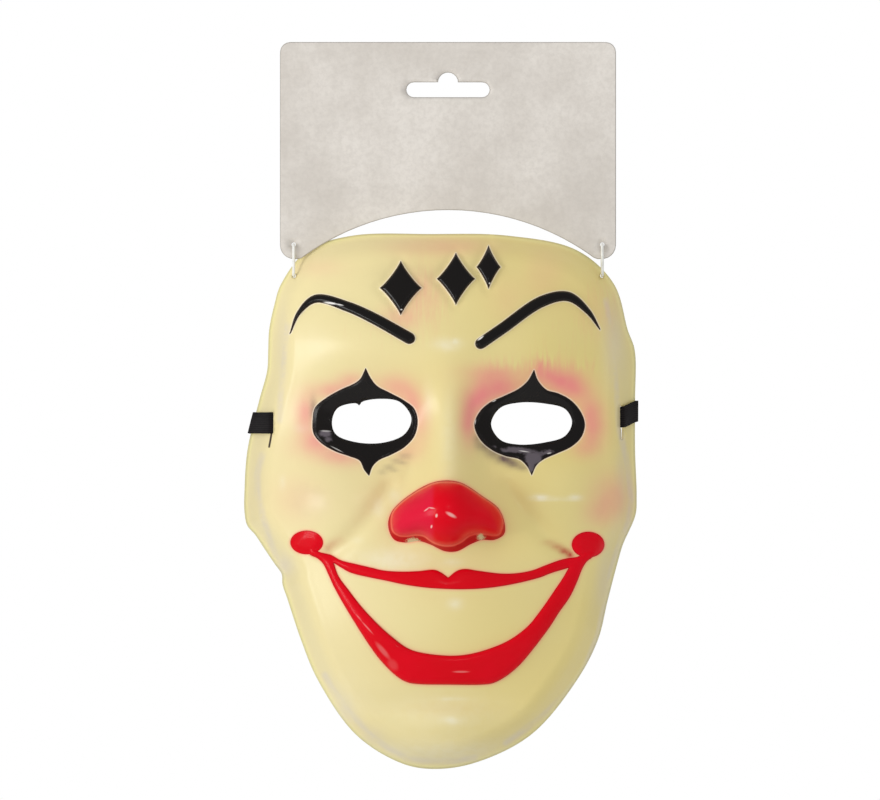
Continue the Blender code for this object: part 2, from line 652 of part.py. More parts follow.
def strap_start(side, z):
    """One edge of the strap at one side: its tail, its way through the slit, and round the rim."""
    face, normals, lengths = skin_line(side, z)
    half = STRAP_THICKNESS / 2
    outer = STRAP_GAP + half
    inner = -(MASK_WALL + STRAP_GAP + half)
    rim = lengths[-1]
    crossing = SLIT_WIDTH / 2
    stations = [(-STRAP_TAIL * share, inner) for share in TAIL_STATIONS]
    stations += [(crossing * place, inner * away) for place, away in SLIT_STATIONS_IN]
    stations += [(crossing * place, outer * away) for place, away in SLIT_STATIONS_OUT]
    stations += [(rim * share, outer) for share in OUTER_STATIONS]
    made = []
    for place, away in stations:
        point = [np.interp(place, lengths, face[:, axis]) for axis in (0, 1)]
        normal = [np.interp(place, lengths, normals[:, axis]) for axis in (0, 1)]
        made.append(np.array(point) + away * np.array(normal))
    along = face[-1] - face[-2]
    along /= np.linalg.norm(along)
    pivot = face[-1] - normals[-1] * MASK_WALL / 2
    radius = MASK_WALL / 2 + outer
    for turn in np.radians(STRAP_TURNS):
        made.append(pivot + radius * (np.cos(turn) * normals[-1] + np.sin(turn) * along))
    made = np.array(made)
    runs = np.array([place for place, _ in stations] + [rim] * len(STRAP_TURNS))
    return [Vector((x, y, z + STRAP_SIDES[side][2] * run)) for (x, y), run in zip(made, runs)]


def strap_lines():
    """The strap's upper edge, middle and lower edge, from its left tail to its right tail."""
    lines = []
    for edge in (0.5, 0, -0.5):
        starts = []
        for side in (0, 1):
            middle = MASK_TOP - STRAP_SIDES[side][1] * MASK_HEIGHT
            starts.append(strap_start(side, middle + edge * STRAP_WIDTH))
        left, right = starts[0][-1], starts[1][-1]
        back = Vector((0, math.cos(STRAP_LOOP_TILT), -math.sin(STRAP_LOOP_TILT)))
        level = Vector((0, 0, 1))
        tilted = Vector((0, math.sin(STRAP_LOOP_TILT), math.cos(STRAP_LOOP_TILT)))
        loop = []
        for step in range(1, LOOP_STEPS):
            turn = math.pi * step / LOOP_STEPS
            rim = left.lerp(right, (1 - math.cos(turn)) / 2)
            lean = min(1.0, LEAN_RATE * math.sin(turn)) * edge * STRAP_WIDTH * (tilted - level)
            flare = STRAP_FLARE * math.sin(2 * turn) * math.sin(turn) * Vector((-1, 0, 0))
            loop.append(rim + STRAP_LOOP_REACH * math.sin(turn) * back + flare + lean)
        lines.append(starts[0] + loop + starts[1][::-1])
    return lines


def build_strap(home):
    lines = strap_lines()
    count = len(lines[0])
    faces = [
        (row * count + i, row * count + i + 1, (row + 1) * count + i + 1, (row + 1) * count + i)
        for row in range(len(lines) - 1)
        for i in range(count - 1)
    ]
    strap = mesh_object("elastic_strap", sum(lines, []), faces, home)
    thicken(strap, STRAP_THICKNESS, 0)
    strap.data.materials.append(material("black_elastic", (0.022, 0.018, 0.018), 0.85))
    return strap


def slit_cutter(side, home):
    """A bar that cuts the strap's slit square through the wall, and leans as the wall does."""
    top = MASK_TOP - STRAP_SIDES[side][1] * MASK_HEIGHT + STRAP_WIDTH / 2 + CLEARANCE
    levels = np.linspace(top, top - STRAP_WIDTH - SLIT_TAIL - CLEARANCE, SLIT_LEVELS)
    corners = []
    for z in levels:
        face, normals, lengths = skin_line(side, z)
        place = np.array([np.interp(0, lengths, face[:, axis]) for axis in (0, 1)])
        normal = np.array([np.interp(0, lengths, normals[:, axis]) for axis in (0, 1)])
        along = np.array((-normal[1], normal[0]))
        for out, beside in ((1, 1), (1, -1), (-1, -1), (-1, 1)):
            x, y = place + out * CUTTER_WALLS * MASK_WALL * normal + beside * SLIT_WIDTH / 2 * along
            corners.append((x, y, z))
    faces = [(0, 1, 2, 3), tuple(range(len(corners) - 1, len(corners) - 5, -1))]
    for level in range(0, len(corners) - 4, 4):
        for i in range(4):
            turned = (i + 1) % 4
            faces.append((level + i, level + 4 + i, level + 4 + turned, level + turned))
    cutter = mesh_object(f"slit_cutter_{side}", corners, faces, home)
    tidy = bmesh.new()
    tidy.from_mesh(cutter.data)
    bmesh.ops.recalc_face_normals(tidy, faces=tidy.faces)
    tidy.to_mesh(cutter.data)
    tidy.free()
    return cutter


def tie_hole_cutter(sign, home):
    mesh = bpy.data.meshes.new("tie_hole_cutter")
    drill = bmesh.new()
    radius = TIE_DIAMETER / 2 + CLEARANCE
    bmesh.ops.create_cone(
        drill, cap_ends=True, segments=16, radius1=radius, radius2=radius, depth=DRILL_LENGTH
    )
    drill.to_mesh(mesh)
    drill.free()
    cutter = bpy.data.objects.new(f"tie_hole_cutter_{'left' if sign < 0 else 'right'}", mesh)
    cutter.location = (sign * TIE_X, 0, TIE_MASK_Z)
    cutter.rotation_euler.x = math.pi / 2
    home.objects.link(cutter)
    return cutter


def build_shell(home, cutters):
    points, edges, rim, holes = shell_layout()
    flat = [Vector(point) for point in points]
    made, _, faces, *_ = delaunay_2d_cdt(flat, edges, [], 0, 1e-7)
    made = np.array([tuple(point) for point in made])
    centres = np.array([made[list(face)].mean(axis=0) for face in faces])
    kept = inside(centres, rim)
    for hole in holes:
        kept &= ~inside(centres, hole)
    faces = [face for face, keep in zip(faces, kept) if keep]
    shell = mesh_object("mask_shell", on_face(made), faces, home)
    shell.data.materials.append(material("cream_plastic", (0.80, 0.70, 0.40), 0.3))
    tidy = bmesh.new()
    tidy.from_mesh(shell.data)
    loose = [vert for vert in tidy.verts if not vert.link_faces]
    bmesh.ops.delete(tidy, geom=loose, context="VERTS")
    bmesh.ops.recalc_face_normals(tidy, faces=tidy.faces)
    if sum(face.normal.y for face in tidy.faces) > 0:
        bmesh.ops.reverse_faces(tidy, faces=tidy.faces)
    tidy.to_mesh(shell.data)
    tidy.free()
    shell.data.shade_smooth()
    thicken(shell, MASK_WALL, -1)
    for side in (0, 1):
        cut(shell, slit_cutter(side, cutters))
    for sign in (-1, 1):
        cut(shell, tie_hole_cutter(sign, cutters))
    return shell


def arc(centre, radius, start, end, steps=6):
    """Points on an arc, angles in degrees anticlockwise from +X."""
    return [
        (centre[0] + radius * math.cos(math.radians(turn)), centre[1] + radius * math.sin(math.radians(turn)))
        for turn in np.linspace(start, end, steps + 1)
    ]


def card_outline():
    """The card with rounded corners and an arch cut out of its foot, anticlockwise."""
    half = TIE_X + CARD_SIDE_MARGIN
    top, foot = SLOT_TOP_MARGIN, CARD_FOOT
    corner, toe = CARD_TOP_RADIUS, CARD_FOOT_RADIUS
    outline = arc((half - corner, top - corner), corner, 0, 90)
    outline += arc((corner - half, top - corner), corner, 90, 180)
    outline += arc((toe - half, foot + toe), toe, 180, 270)
    arch_half = half - toe - ARCH_FOOT / 2
    arch_radius = (arch_half**2 + ARCH_RISE**2) / (2 * ARCH_RISE)
    spread = math.degrees(math.asin(arch_half / arch_radius))
    outline += arc((0, foot + ARCH_RISE - arch_radius), arch_radius, 90 + spread, 90 - spread, 24)
    outline += arc((half - toe, foot + toe), toe, 270, 360)
    return outline


def slot_outline():
    """The hanging slot: a bar with round ends and a bump on top of its middle, whose top is the origin."""
    radius = SLOT_HEIGHT / 2
    middle = -SLOT_BUMP_RISE - radius
    end = SLOT_WIDTH / 2 - radius
    bump = SLOT_BUMP_WIDTH / 2
    outline = arc((end, middle), radius, -90, 90, 8)
    outline += [(bump, middle + radius)]
    outline += arc((0, -bump), bump, 0, 180, 10)
    outline += [(-bump, middle + radius)]
    outline += arc((-end, middle), radius, 90, 270, 8)
    return outline


def build_card(home):
    curve = bpy.data.curves.new("header_card", "CURVE")
    curve.dimensions = "2D"
    curve.fill_mode = "BOTH"
    curve.extrude = CARD_THICKNESS / 2
    hole = TIE_DIAMETER / 2 + CLEARANCE
    outlines = [card_outline(), slot_outline()]
    outlines += [arc((sign * TIE_X, TIE_CARD_Z), hole, 0, 330, 11) for sign in (-1, 1)]
    for outline in outlines:
        drawn = curve.splines.new("POLY")
        drawn.points.add(len(outline) - 1)
        for point, (x, z) in zip(drawn.points, outline):
            point.co = (x, z, 0, 1)
        drawn.use_cyclic_u = True
    card = bpy.data.objects.new("header_card", curve)
    card.rotation_euler.x = math.pi / 2
    card.data.materials.append(material("grey_card", (0.55, 0.53, 0.49), 0.8))
    home.objects.link(card)
    return card


def tie_route(sign):
    """The closed way of a tie: through the card, down in front, through the mask, and up behind its rim."""
    x = sign * TIE_X
    radius = TIE_DIAMETER / 2
    card_gap = CARD_THICKNESS / 2 + CLEARANCE + radius
    rim_z = MASK_TOP - outline_down(sign * TIE_ACROSS) * MASK_HEIGHT
    hole = on_face(np.array([(x, TIE_MASK_Z)]))[0]
    rim = on_face(np.array([(x, rim_z)]))[0]
    front = min(-card_gap, float(hole[1]) - 2 * radius)
    behind = float(rim[1]) + MASK_WALL + CLEARANCE + 2 * radius
    return [
        (x, 0, TIE_CARD_Z),
        (x, -card_gap, TIE_CARD_Z - radius),
        (x, front, (TIE_CARD_Z + TIE_MASK_Z) / 2),
        (x, front, TIE_MASK_Z + radius),
        (x, float(hole[1]) + MASK_WALL, TIE_MASK_Z),
        (x, behind, TIE_MASK_Z + radius),
        (x, behind, rim_z + radius),
        (x, card_gap, TIE_CARD_Z - radius),
    ]


def build_tie(name, sign, home):
    curve = bpy.data.curves.new(name, "CURVE")
    curve.dimensions = "3D"
    curve.bevel_depth = TIE_DIAMETER / 2
    curve.bevel_resolution = 1
    route = spline(tie_route(sign), closed=True)[::TIE_THINNING]
    drawn = curve.splines.new("POLY")
    drawn.points.add(len(route) - 1)
    for point, place in zip(drawn.points, route):
        point.co = (*place, 1)
    drawn.use_cyclic_u = True
    tie = bpy.data.objects.new(name, curve)
    tie.data.materials.append(material("white_" + name, (0.85, 0.85, 0.83), 0.25))
    home.objects.link(tie)
    return tie


def main():
    for old in list(bpy.data.objects):
        bpy.data.objects.remove(old)
    home = collection("clown_mask")
    cutters = collection("cutters")
    build_shell(home, cutters)
    build_strap(home)
    build_card(home)
    build_tie("tie_left", -1, home)
    build_tie("tie_right", 1, home)


main()
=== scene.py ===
"""The looks of the clown mask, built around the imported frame.

The frame is the CAD part's: the face looks along -Y, +Z is up, and the origin is the top of the
card's hanging slot. All lengths are in metres. In the tables, "across" is a share of half the
mask's width, from the middle line, and "down" is a share of the mask's height, from its top.
"""

import math

import bmesh
import bpy
import numpy as np
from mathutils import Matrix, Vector
from mathutils.geometry import delaunay_2d_cdt
from mathutils.kdtree import KDTree


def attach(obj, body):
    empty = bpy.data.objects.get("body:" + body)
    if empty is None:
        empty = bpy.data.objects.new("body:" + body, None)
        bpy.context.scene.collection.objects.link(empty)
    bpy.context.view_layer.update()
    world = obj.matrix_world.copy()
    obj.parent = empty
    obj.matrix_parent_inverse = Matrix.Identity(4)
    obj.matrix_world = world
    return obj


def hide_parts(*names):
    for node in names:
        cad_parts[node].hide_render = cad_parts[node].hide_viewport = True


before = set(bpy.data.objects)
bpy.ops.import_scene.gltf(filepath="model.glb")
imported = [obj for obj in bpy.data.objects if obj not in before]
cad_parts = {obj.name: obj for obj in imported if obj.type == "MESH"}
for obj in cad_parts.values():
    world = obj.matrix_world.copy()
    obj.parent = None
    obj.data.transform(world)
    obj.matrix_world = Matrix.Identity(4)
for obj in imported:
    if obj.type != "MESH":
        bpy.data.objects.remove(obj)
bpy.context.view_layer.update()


def thousandths(rows):
    """A table that is written in thousandths, as plain numbers."""
    if isinstance(rows, (int, float)):
        return round(rows / 1000, 7)
    return tuple(thousandths(row) for row in rows)


# Mask shell
MASK_HEIGHT = 0.2300
MASK_HALF_WIDTH = 0.0845
MASK_WALL = 0.0008
FACE_DEPTH = 0.0560
SIDE_FALL = 0.0620
SECTION_RADIUS = 0.0980
# Keeps the section's side from standing upright
STEEPEST = 0.05
RIM_RUN = 0.0105
RIM_RISE = 0.0200
FORM_RISE = 0.0100
NOSE_REACH = 0.0140
NOSE_SIDE = 0.0030
NOSE_WALL = 0.0006
BRIDGE_REACH = 0.0120
FOLD_DEPTH = 0.0018
FOLD_WIDTH = 0.0042

# Raised, painted features of the shell
EYE_RISE = 0.0006
EYE_EDGE = 0.0016
BROW_WIDTH = 0.0045
BROW_RISE = 0.0015
BROW_EDGE = 0.0016
LIP_RISE = 0.0024
LIP_EDGE = 0.0032
DOT_RISE = 0.0007
DOT_EDGE = 0.0030
LOZENGE_RISE = 0.0016
LOZENGE_EDGE = 0.0020
MOAT_DEPTH = 0.0005
MOAT_WIDTH = 0.0014
# How pointed the nose's dome is, and how hollow a lozenge's sides are
NOSE_POWER = 1.3
LOZENGE_HOLLOW = 2.3

# Elastic strap
STRAP_WIDTH = 0.0090
STRAP_THICKNESS = 0.0008
STRAP_TAIL = 0.0140
STRAP_LOOP_REACH = 0.0600
STRAP_LOOP_TILT = math.radians(35)
STRAP_FLARE = 0.0120
SLIT_WIDTH = 0.0022
SLIT_TAIL = 0.0052
# Half the slit's opening as a share of its width, and its top above the strap's middle as a share of the
# strap's width
SLIT_OPENING = 0.28
SLIT_OVER_STRAP = 0.52
SLIT_STEP = 0.0006
# The open line that runs on below the right slit: aside, down from the slit's foot.
OPEN_LINE = ((-0.0001, 0.0005), (0, SLIT_TAIL), (0.0008, SLIT_TAIL), (0.0010, 0.0005))
# The closed one below the left slit: aside, share of SLIT_TAIL down from where it starts, which is a share
# of the strap's width below its middle.
CLOSED_LINE = ((-0.0001, 0), (-0.0006, 0.6), (-0.0012, 1.2))
CLOSED_LINE_START = 0.45
CLOSED_LINE_STEP = 0.0004
CLOSED_LINE_SPACING = 0.0002

# Header card
CARD_HEIGHT = 0.0933
CARD_THICKNESS = 0.0006
CARD_SIDE_MARGIN = 0.0059
CARD_TOP_RADIUS = 0.0043
CARD_FOOT_RADIUS = 0.0060
ARCH_FOOT = 0.0055
ARCH_RISE = 0.0211
SLOT_TOP_MARGIN = 0.0131
SLOT_WIDTH = 0.0358
SLOT_HEIGHT = 0.0064
SLOT_BUMP_WIDTH = 0.0086
SLOT_BUMP_RISE = 0.0042

# Ties between the card and the mask
TIE_DIAMETER = 0.0013
TIE_ACROSS = 0.785
TIE_CARD_INSET = 0.0062
TIE_MASK_INSET = 0.0032
CARD_TO_MASK = 0.0039

# The strap lies this far off the shell, the mask's wall this far behind the card at the ties, and the ties
# have this much room.
STRAP_GAP = 0.0006
TIE_SETBACK = 0.0030
CLEARANCE = 0.0003

# The strap's way: shares of its tail, then along and through the slit as shares of half its width and of
# the strap's distance from the face, then shares of the way to the rim.
TAIL_STATIONS = (1.0, 0.7, 0.4, 0.2)
SLIT_STATIONS_IN = ((-1, 1), (-0.45, 0.8), (-0.12, 0.35))
SLIT_STATIONS_OUT = ((0.2, 0.1), (0.6, 0.8), (1.2, 1))
OUTER_STATIONS = (0.35, 0.55, 0.75, 0.9, 1.0)
# Then it turns round the rim, by so many degrees.
STRAP_TURNS = (30, 60, 90, 115)
LOOP_STEPS = 40
# How soon the strap leans over as its loop leaves the rim
LEAN_RATE = 4

# How finely lines are followed: where depths are measured, and on the mask's own mesh
FINE_STEP = 0.0012
MASK_STEP = 0.0009
SPLINE_STEPS = 12
SKIN_STEPS = 80
BROW_END_STEPS = 8
TIE_HOLE_STEPS = 14
# The outline belongs to the mask's upper edge as far down as this.
UPPER_PART = 0.2
# The rim is sought this far up and down, and the surface followed this far past the strap's tail.
SKIN_REACH = 0.004
SKIN_ROOM = 0.002
# Rings of points inside each painted outline. A point keeps half its ring's depth to other points, but no
# more than half of RING_SPACING.
RING_DEPTHS = (0.00025, 0.0006, 0.0012, 0.0020)
RING_SPACING = 0.0008
# The ring outside each: how far out, and the least distance to other points.
OUTER_RING = (0.0005, 0.0003)
# Rings along the rolled rim, as shares of RIM_RUN, and the least distance to other points
RIM_RINGS = (0.04, 0.1, 0.2, 0.3, 0.45, 0.6, 0.8)
RIM_RING_SPACING = 0.0005
# How much of its own distance a ring keeps to its outline
RING_ROOM = 0.8
# The card's outline and the rings inside it
CARD_STEP = 0.0016
CARD_RINGS = (0.0005, 0.0012)
CARD_RING_SPACING = 0.0004
# The lattice that fills the rest: its step, the shares of it that are kept free beside the outline and
# beside other points, and how near two points are merged
MASK_LATTICE = 0.0013
CARD_LATTICE = 0.0028
LATTICE_EDGE_ROOM = 0.4
LATTICE_ROOM = 0.55
MERGE_DISTANCE = 1e-7

# The mask's outline from the front, clockwise from the top: across, down.
OUTLINE = thousandths((
    (-90, 0), (305, 3), (656, 30), (845, 93), (916, 179), (952, 217), (954, 310), (954, 404), (962, 490),
    (956, 525), (891, 581), (865, 613), (814, 684), (763, 759), (656, 834), (422, 936), (132, 989),
    (-80, 1000), (-239, 989), (-468, 936), (-662, 834), (-748, 759), (-819, 681), (-843, 655),
    (-847, 636), (-879, 619), (-933, 590), (-982, 563), (-1024, 545), (-1038, 520), (-1038, 479),
    (-1023, 404), (-962, 310), (-921, 254), (-916, 217), (-911, 179), (-885, 133), (-850, 93), (-715, 30),
    (-489, 3),
))

# How far the face reaches forward on its middle line: down, share of FACE_DEPTH.
PROFILE = thousandths((
    (-50, 700), (0, 790), (80, 900), (160, 965), (240, 980), (330, 960), (450, 970), (600, 990),
    (720, 980), (820, 930), (900, 870), (960, 770), (1000, 680), (1050, 560),
))

# The rolled rim, inwards from the outline: share of RIM_RUN, share of RIM_RISE.
RIM_SECTION = thousandths(((0, 0), (200, 170), (450, 550), (700, 860), (1000, 1000), (1300, 1000)))

# How much of the rim's rise each height has: down, share.
RIM_BY_HEIGHT = thousandths((
    (-50, 400), (0, 420), (100, 520), (250, 900), (500, 1000), (800, 800), (1000, 600), (1050, 600),
))

# Soft swellings and hollows: across, down, share of half width, share of height, share of FORM_RISE.
FORMS = thousandths((
    (-420, 205, 340, 50, 300), (420, 205, 340, 50, 300), (0, 220, 200, 60, 300),
    (-400, 350, 270, 75, -850), (420, 350, 270, 75, -850), (-620, 490, 270, 85, 750),
    (620, 490, 270, 85, 750), (0, 700, 500, 140, 550), (0, 920, 240, 45, 450), (0, 872, 340, 20, -250),
))

# The bridge of the nose: down, half width (share of half the mask's width), share of BRIDGE_REACH.
BRIDGE = thousandths((
    (200, 160, 0), (270, 150, 100), (330, 150, 340), (400, 180, 660), (470, 240, 1000), (530, 300, 950),
    (570, 300, 450), (610, 280, 50), (640, 280, 0),
))

# Creases from the nose to the corners of the mouth: across, down.
FOLDS = thousandths((
    ((-300, 473), (-351, 503), (-417, 536), (-499, 568), (-585, 593)),
    ((300, 473), (356, 503), (430, 536), (520, 568), (605, 590)),
))

# Painted outlines. Each is made of smooth runs that meet at corners: across, down.
EYE_PAINT = thousandths((
    (
        (
            (-418, 251), (-394, 269), (-361, 284), (-295, 297), (-224, 311), (-173, 326), (-155, 348),
            (-170, 376), (-219, 397), (-290, 412), (-351, 422), (-384, 434), (-401, 451),
        ),
        (
            (-401, 451), (-425, 440), (-448, 423), (-499, 415), (-570, 406), (-641, 391), (-682, 373),
            (-687, 346), (-674, 324), (-621, 307), (-545, 291), (-478, 280), (-445, 271), (-418, 251),
        ),
    ),
    (
        (
            (437, 254), (455, 273), (499, 291), (560, 298), (621, 310), (672, 331), (695, 355),
            (677, 379), (626, 397), (550, 410), (483, 421), (448, 432), (425, 450),
        ),
        (
            (425, 450), (405, 435), (366, 421), (290, 414), (219, 402), (163, 383), (135, 357),
            (158, 334), (209, 316), (290, 302), (361, 289), (407, 274), (437, 254),
        ),
    ),
))
# The eye holes are closed smooth lines.
EYE_HOLES = thousandths((
    (
        (-590, 350), (-560, 325), (-464, 316.5), (-451, 320.5), (-438, 314), (-346, 308), (-244, 314),
        (-186, 344), (-219, 373), (-321, 389), (-463, 389), (-570, 374),
    ),
    (
        (219, 355), (265, 325), (366, 315), (494, 317), (595, 327), (631, 351), (595, 377), (494, 389),
        (356, 393), (265, 384),
    ),
))
NOSE_PAINT = thousandths((
    (
        (290, 546), (283, 561), (234, 571), (173, 571), (120, 578), (46, 592), (-15, 592), (-92, 579),
        (-148, 573), (-214, 576), (-275, 570), (-304, 545), (-285, 518), (-183, 484), (-60, 462),
        (56, 463), (178, 490), (260, 514), (290, 546),
    ),
))
# The nose's tip, and the ridge round its front, where it turns back to the face.
NOSE_TIP = thousandths((-5, 530))
NOSE_RIDGE = thousandths((
    (-288, 542), (-280, 555), (-249, 563), (-204, 564), (-163, 562), (-122, 564), (-92, 572), (-61, 578),
    (-20, 582), (31, 581), (71, 574), (102, 565), (142, 560), (183, 560), (224, 563), (260, 561),
    (277, 546), (277, 529), (249, 508), (204, 495), (137, 477), (71, 465), (0, 463), (-66, 465),
    (-142, 478), (-219, 493), (-265, 508), (-285, 525),
))
MOUTH_OUTER = thousandths((
    (
        (-700, 585), (-650, 594), (-595, 599), (-544, 609), (-468, 616), (-397, 622), (-325, 628),
        (-232, 630), (-149, 629), (-71, 626.5), (-38, 631), (1, 641),
    ),
    (
        (1, 641), (45, 628.5), (84, 625), (155, 628.5), (266, 633.5), (348, 633), (429, 627.5),
        (497, 618), (565, 609), (611, 605), (662, 602), (715, 590),
    ),
    (
        (715, 590), (758, 597), (733, 604), (705, 612), (684, 624), (653, 652), (617, 679), (565, 706),
        (518, 733), (468, 758), (431, 775.5), (365, 804), (293, 826), (227, 838.5), (177, 841),
        (-11, 841), (-149, 840), (-204, 837), (-259, 826), (-342, 796), (-397, 769), (-514, 701),
        (-580, 658), (-612, 632), (-634, 616), (-662, 606), (-707, 597), (-700, 585),
    ),
))
MOUTH_INNER = thousandths((
    (
        (612, 623.5), (524, 633), (468, 641), (348, 652), (238, 659), (127, 662.5), (1, 662.5),
        (-121, 659.5), (-232, 653.5), (-314, 647), (-397, 641), (-496, 632), (-546, 622), (-580, 614.5),
    ),
    (
        (-580, 614.5), (-557, 638), (-502, 666), (-436, 697), (-358, 727.5), (-287, 751), (-209, 772),
        (-149, 780), (-11, 786.5), (88, 785), (199, 775), (309, 758), (403, 732.5), (468, 703.5),
        (543, 664), (585, 641), (612, 623.5),
    ),
))

# How much of the lips' rise each height has: down, share.
LIP_BY_HEIGHT = thousandths(((550, 450), (660, 500), (720, 800), (780, 1000), (850, 1000)))

# The dots at the corners of the mouth: across, down, half width, half height.
CHEEK_DOTS = thousandths(((-718, 576, 84, 22.4), (712, 580, 84, 24.3)))

# The brows' middle lines: across, down, share of BROW_WIDTH.
BROWS = thousandths((
    (
        (-804, 187, 50), (-758, 147, 350), (-672, 121, 730), (-509, 136, 920), (-387, 156, 1000),
        (-196, 195, 1060),
    ),
    (
        (774, 179, 50), (712, 145, 480), (611, 117, 870), (478, 126, 1020), (275, 177, 1000),
        (165, 205, 1000),
    ),
))

# Lozenges on the forehead: across, down, half width, half height.
LOZENGES = thousandths(((-240, 101, 105, 50), (40, 84, 96, 48), (206, 62, 60, 40)))

# Where the strap passes each side: across of the slit, down of the strap's middle, and its rise for each
# length outwards.
STRAP_SIDES = thousandths(((-896, 353, 0), (883, 342, 130)))


def smooth_table(rows, at, column=1):
    """The value of a table's smooth curve at each place, where column 0 holds the places."""
    places = np.array([row[0] for row in rows])
    values = np.array([row[column] for row in rows])
    slopes = np.gradient(values, places)
    index = np.clip(np.searchsorted(places, at) - 1, 0, len(places) - 2)
    width = places[index + 1] - places[index]
    t = np.clip((at - places[index]) / width, 0, 1)
    rise = values[index + 1] - values[index]
    return (
        values[index]
        + rise * t * t * (3 - 2 * t)
        + width * slopes[index] * t * (1 - t) ** 2
        - width * slopes[index + 1] * t * t * (1 - t)
    )


def spline(points, closed):
    """A centripetal Catmull-Rom curve through the points, as many short steps."""
    points = np.array(points, float)
    if closed:
        padded = np.vstack((points[-1], points, points[0], points[1]))
    else:
        padded = np.vstack((2 * points[0] - points[1], points, 2 * points[-1] - points[-2]))
    steps = np.linspace(0, 1, SPLINE_STEPS, endpoint=False)[:, None]
    made = []
    for before, start, end, after in zip(padded, padded[1:], padded[2:], padded[3:]):
        sides = (start - before, end - start, after - end)
        knots = np.cumsum([0, *(np.linalg.norm(side) ** 0.5 for side in sides)])
        t = knots[1] + (knots[2] - knots[1]) * steps
        a1 = before + (start - before) * (t - knots[0]) / (knots[1] - knots[0])
        a2 = start + (end - start) * (t - knots[1]) / (knots[2] - knots[1])
        a3 = end + (after - end) * (t - knots[2]) / (knots[3] - knots[2])
        b1 = a1 + (a2 - a1) * (t - knots[0]) / (knots[2] - knots[0])
        b2 = a2 + (a3 - a2) * (t - knots[1]) / (knots[3] - knots[1])
        made.append(b1 + (b2 - b1) * (t - knots[1]) / (knots[2] - knots[1]))
    if not closed:
        made.append(points[-1:])
    return np.vstack(made)


def lengths_along(line):
    """How far along a line each of its points is."""
    return np.concatenate(([0], np.cumsum(np.linalg.norm(np.diff(line, axis=0), axis=1))))


def evenly(line, step, closed):
    """Points about one step apart along a line."""
    if closed:
        line = np.vstack((line, line[:1]))
    lengths = lengths_along(line)
    count = max(3 if closed else 1, round(lengths[-1] / step))
    places = np.linspace(0, lengths[-1], count + 1)
    if closed:
        places = places[:-1]
    return np.column_stack([np.interp(places, lengths, line[:, axis]) for axis in (0, 1)])


# The mask hangs under the card, and ties join them where its outline turns down.
CARD_FOOT = SLOT_TOP_MARGIN - CARD_HEIGHT


def outline_down(across):
    """How far down the mask's upper edge is at a place across."""
    line = spline(OUTLINE, closed=True)
    upper = line[line[:, 1] < UPPER_PART]
    upper = upper[np.argsort(upper[:, 0])]
    return float(np.interp(across, upper[:, 0], upper[:, 1]))


TIE_DROP = max(outline_down(TIE_ACROSS), outline_down(-TIE_ACROSS)) * MASK_HEIGHT
MASK_TOP = CARD_FOOT - CARD_TO_MASK + TIE_DROP


def placed(points):
    """Front view positions (x, z) of points given as shares across and down."""
    points = np.array(points, float)
    return np.column_stack((points[:, 0] * MASK_HALF_WIDTH, MASK_TOP - points[:, 1] * MASK_HEIGHT))


def across_down(points):
    """The shares across and down of front view positions."""
    return points[:, 0] / MASK_HALF_WIDTH, (MASK_TOP - points[:, 1]) / MASK_HEIGHT


def smooth_loop(points, step):
    return evenly(spline(placed(points), closed=True), step, closed=True)


def cornered_loop(runs, step):
    """A closed loop of smooth runs that meet at corners."""
    if len(runs) == 1:
        return smooth_loop(runs[0][:-1], step)
    return np.vstack([evenly(spline(placed(run), closed=False), step, closed=False)[:-1] for run in runs])


def ellipse_loop(across, down, half_width, half_height, step):
    centre = placed([(across, down)])[0]
    radii = np.array((half_width * MASK_HALF_WIDTH, half_height * MASK_HEIGHT))
    count = max(8, round(2 * math.pi * radii.mean() / step))
    turns = np.arange(count) * 2 * math.pi / count
    return centre + radii * np.column_stack((np.sin(turns), np.cos(turns)))


def lozenge_loop(across, down, half_width, half_height, step):
    """A lozenge with slightly hollow sides."""
    centre = placed([(across, down)])[0]
    radii = np.array((half_width * MASK_HALF_WIDTH, half_height * MASK_HEIGHT))
    count = 4 * max(2, round(np.linalg.norm(radii) / step))
    turns = np.arange(count) * 2 * math.pi / count
    shape = np.column_stack((np.sin(turns), np.cos(turns)))
    return centre + radii * np.sign(shape) * np.abs(shape) ** LOZENGE_HOLLOW


def brow_loop(rows, step):
    """The outline of a brow that is pointed at its outer end and round at its inner end."""
    rows = np.array(rows)
    middle = spline(placed(rows[:, :2]), closed=False)
    widths = np.interp(np.linspace(0, 1, len(middle)), np.linspace(0, 1, len(rows)), rows[:, 2])
    half = widths * BROW_WIDTH / 2
    along = np.gradient(middle, axis=0)
    along /= np.linalg.norm(along, axis=1)[:, None]
    beside = np.column_stack((-along[:, 1], along[:, 0]))
    turns = np.linspace(0, math.pi, BROW_END_STEPS + 1)[1:-1, None]
    end = middle[-1] + half[-1] * (np.cos(turns) * beside[-1] + np.sin(turns) * along[-1])
    line = np.vstack((middle + half[:, None] * beside, end, (middle - half[:, None] * beside)[::-1]))
    return evenly(line, step, closed=True)


def segments_from(line, closed):
    """Start points and steps of a line's segments."""
    ends = np.roll(line, -1, axis=0) if closed else line[1:]
    starts = line if closed else line[:-1]
    return starts, ends - starts


def distance(points, line, closed=True):
    """How far each point is from a line."""
    starts, steps = segments_from(line, closed)
    lengths = np.maximum((steps**2).sum(axis=1), 1e-18)
    best = np.full(len(points), np.inf)
    for start, step, length in zip(starts, steps, lengths):
        t = np.clip((points - start) @ step / length, 0, 1)
        gap = points - start - t[:, None] * step
        best = np.minimum(best, (gap**2).sum(axis=1))
    return np.sqrt(best)


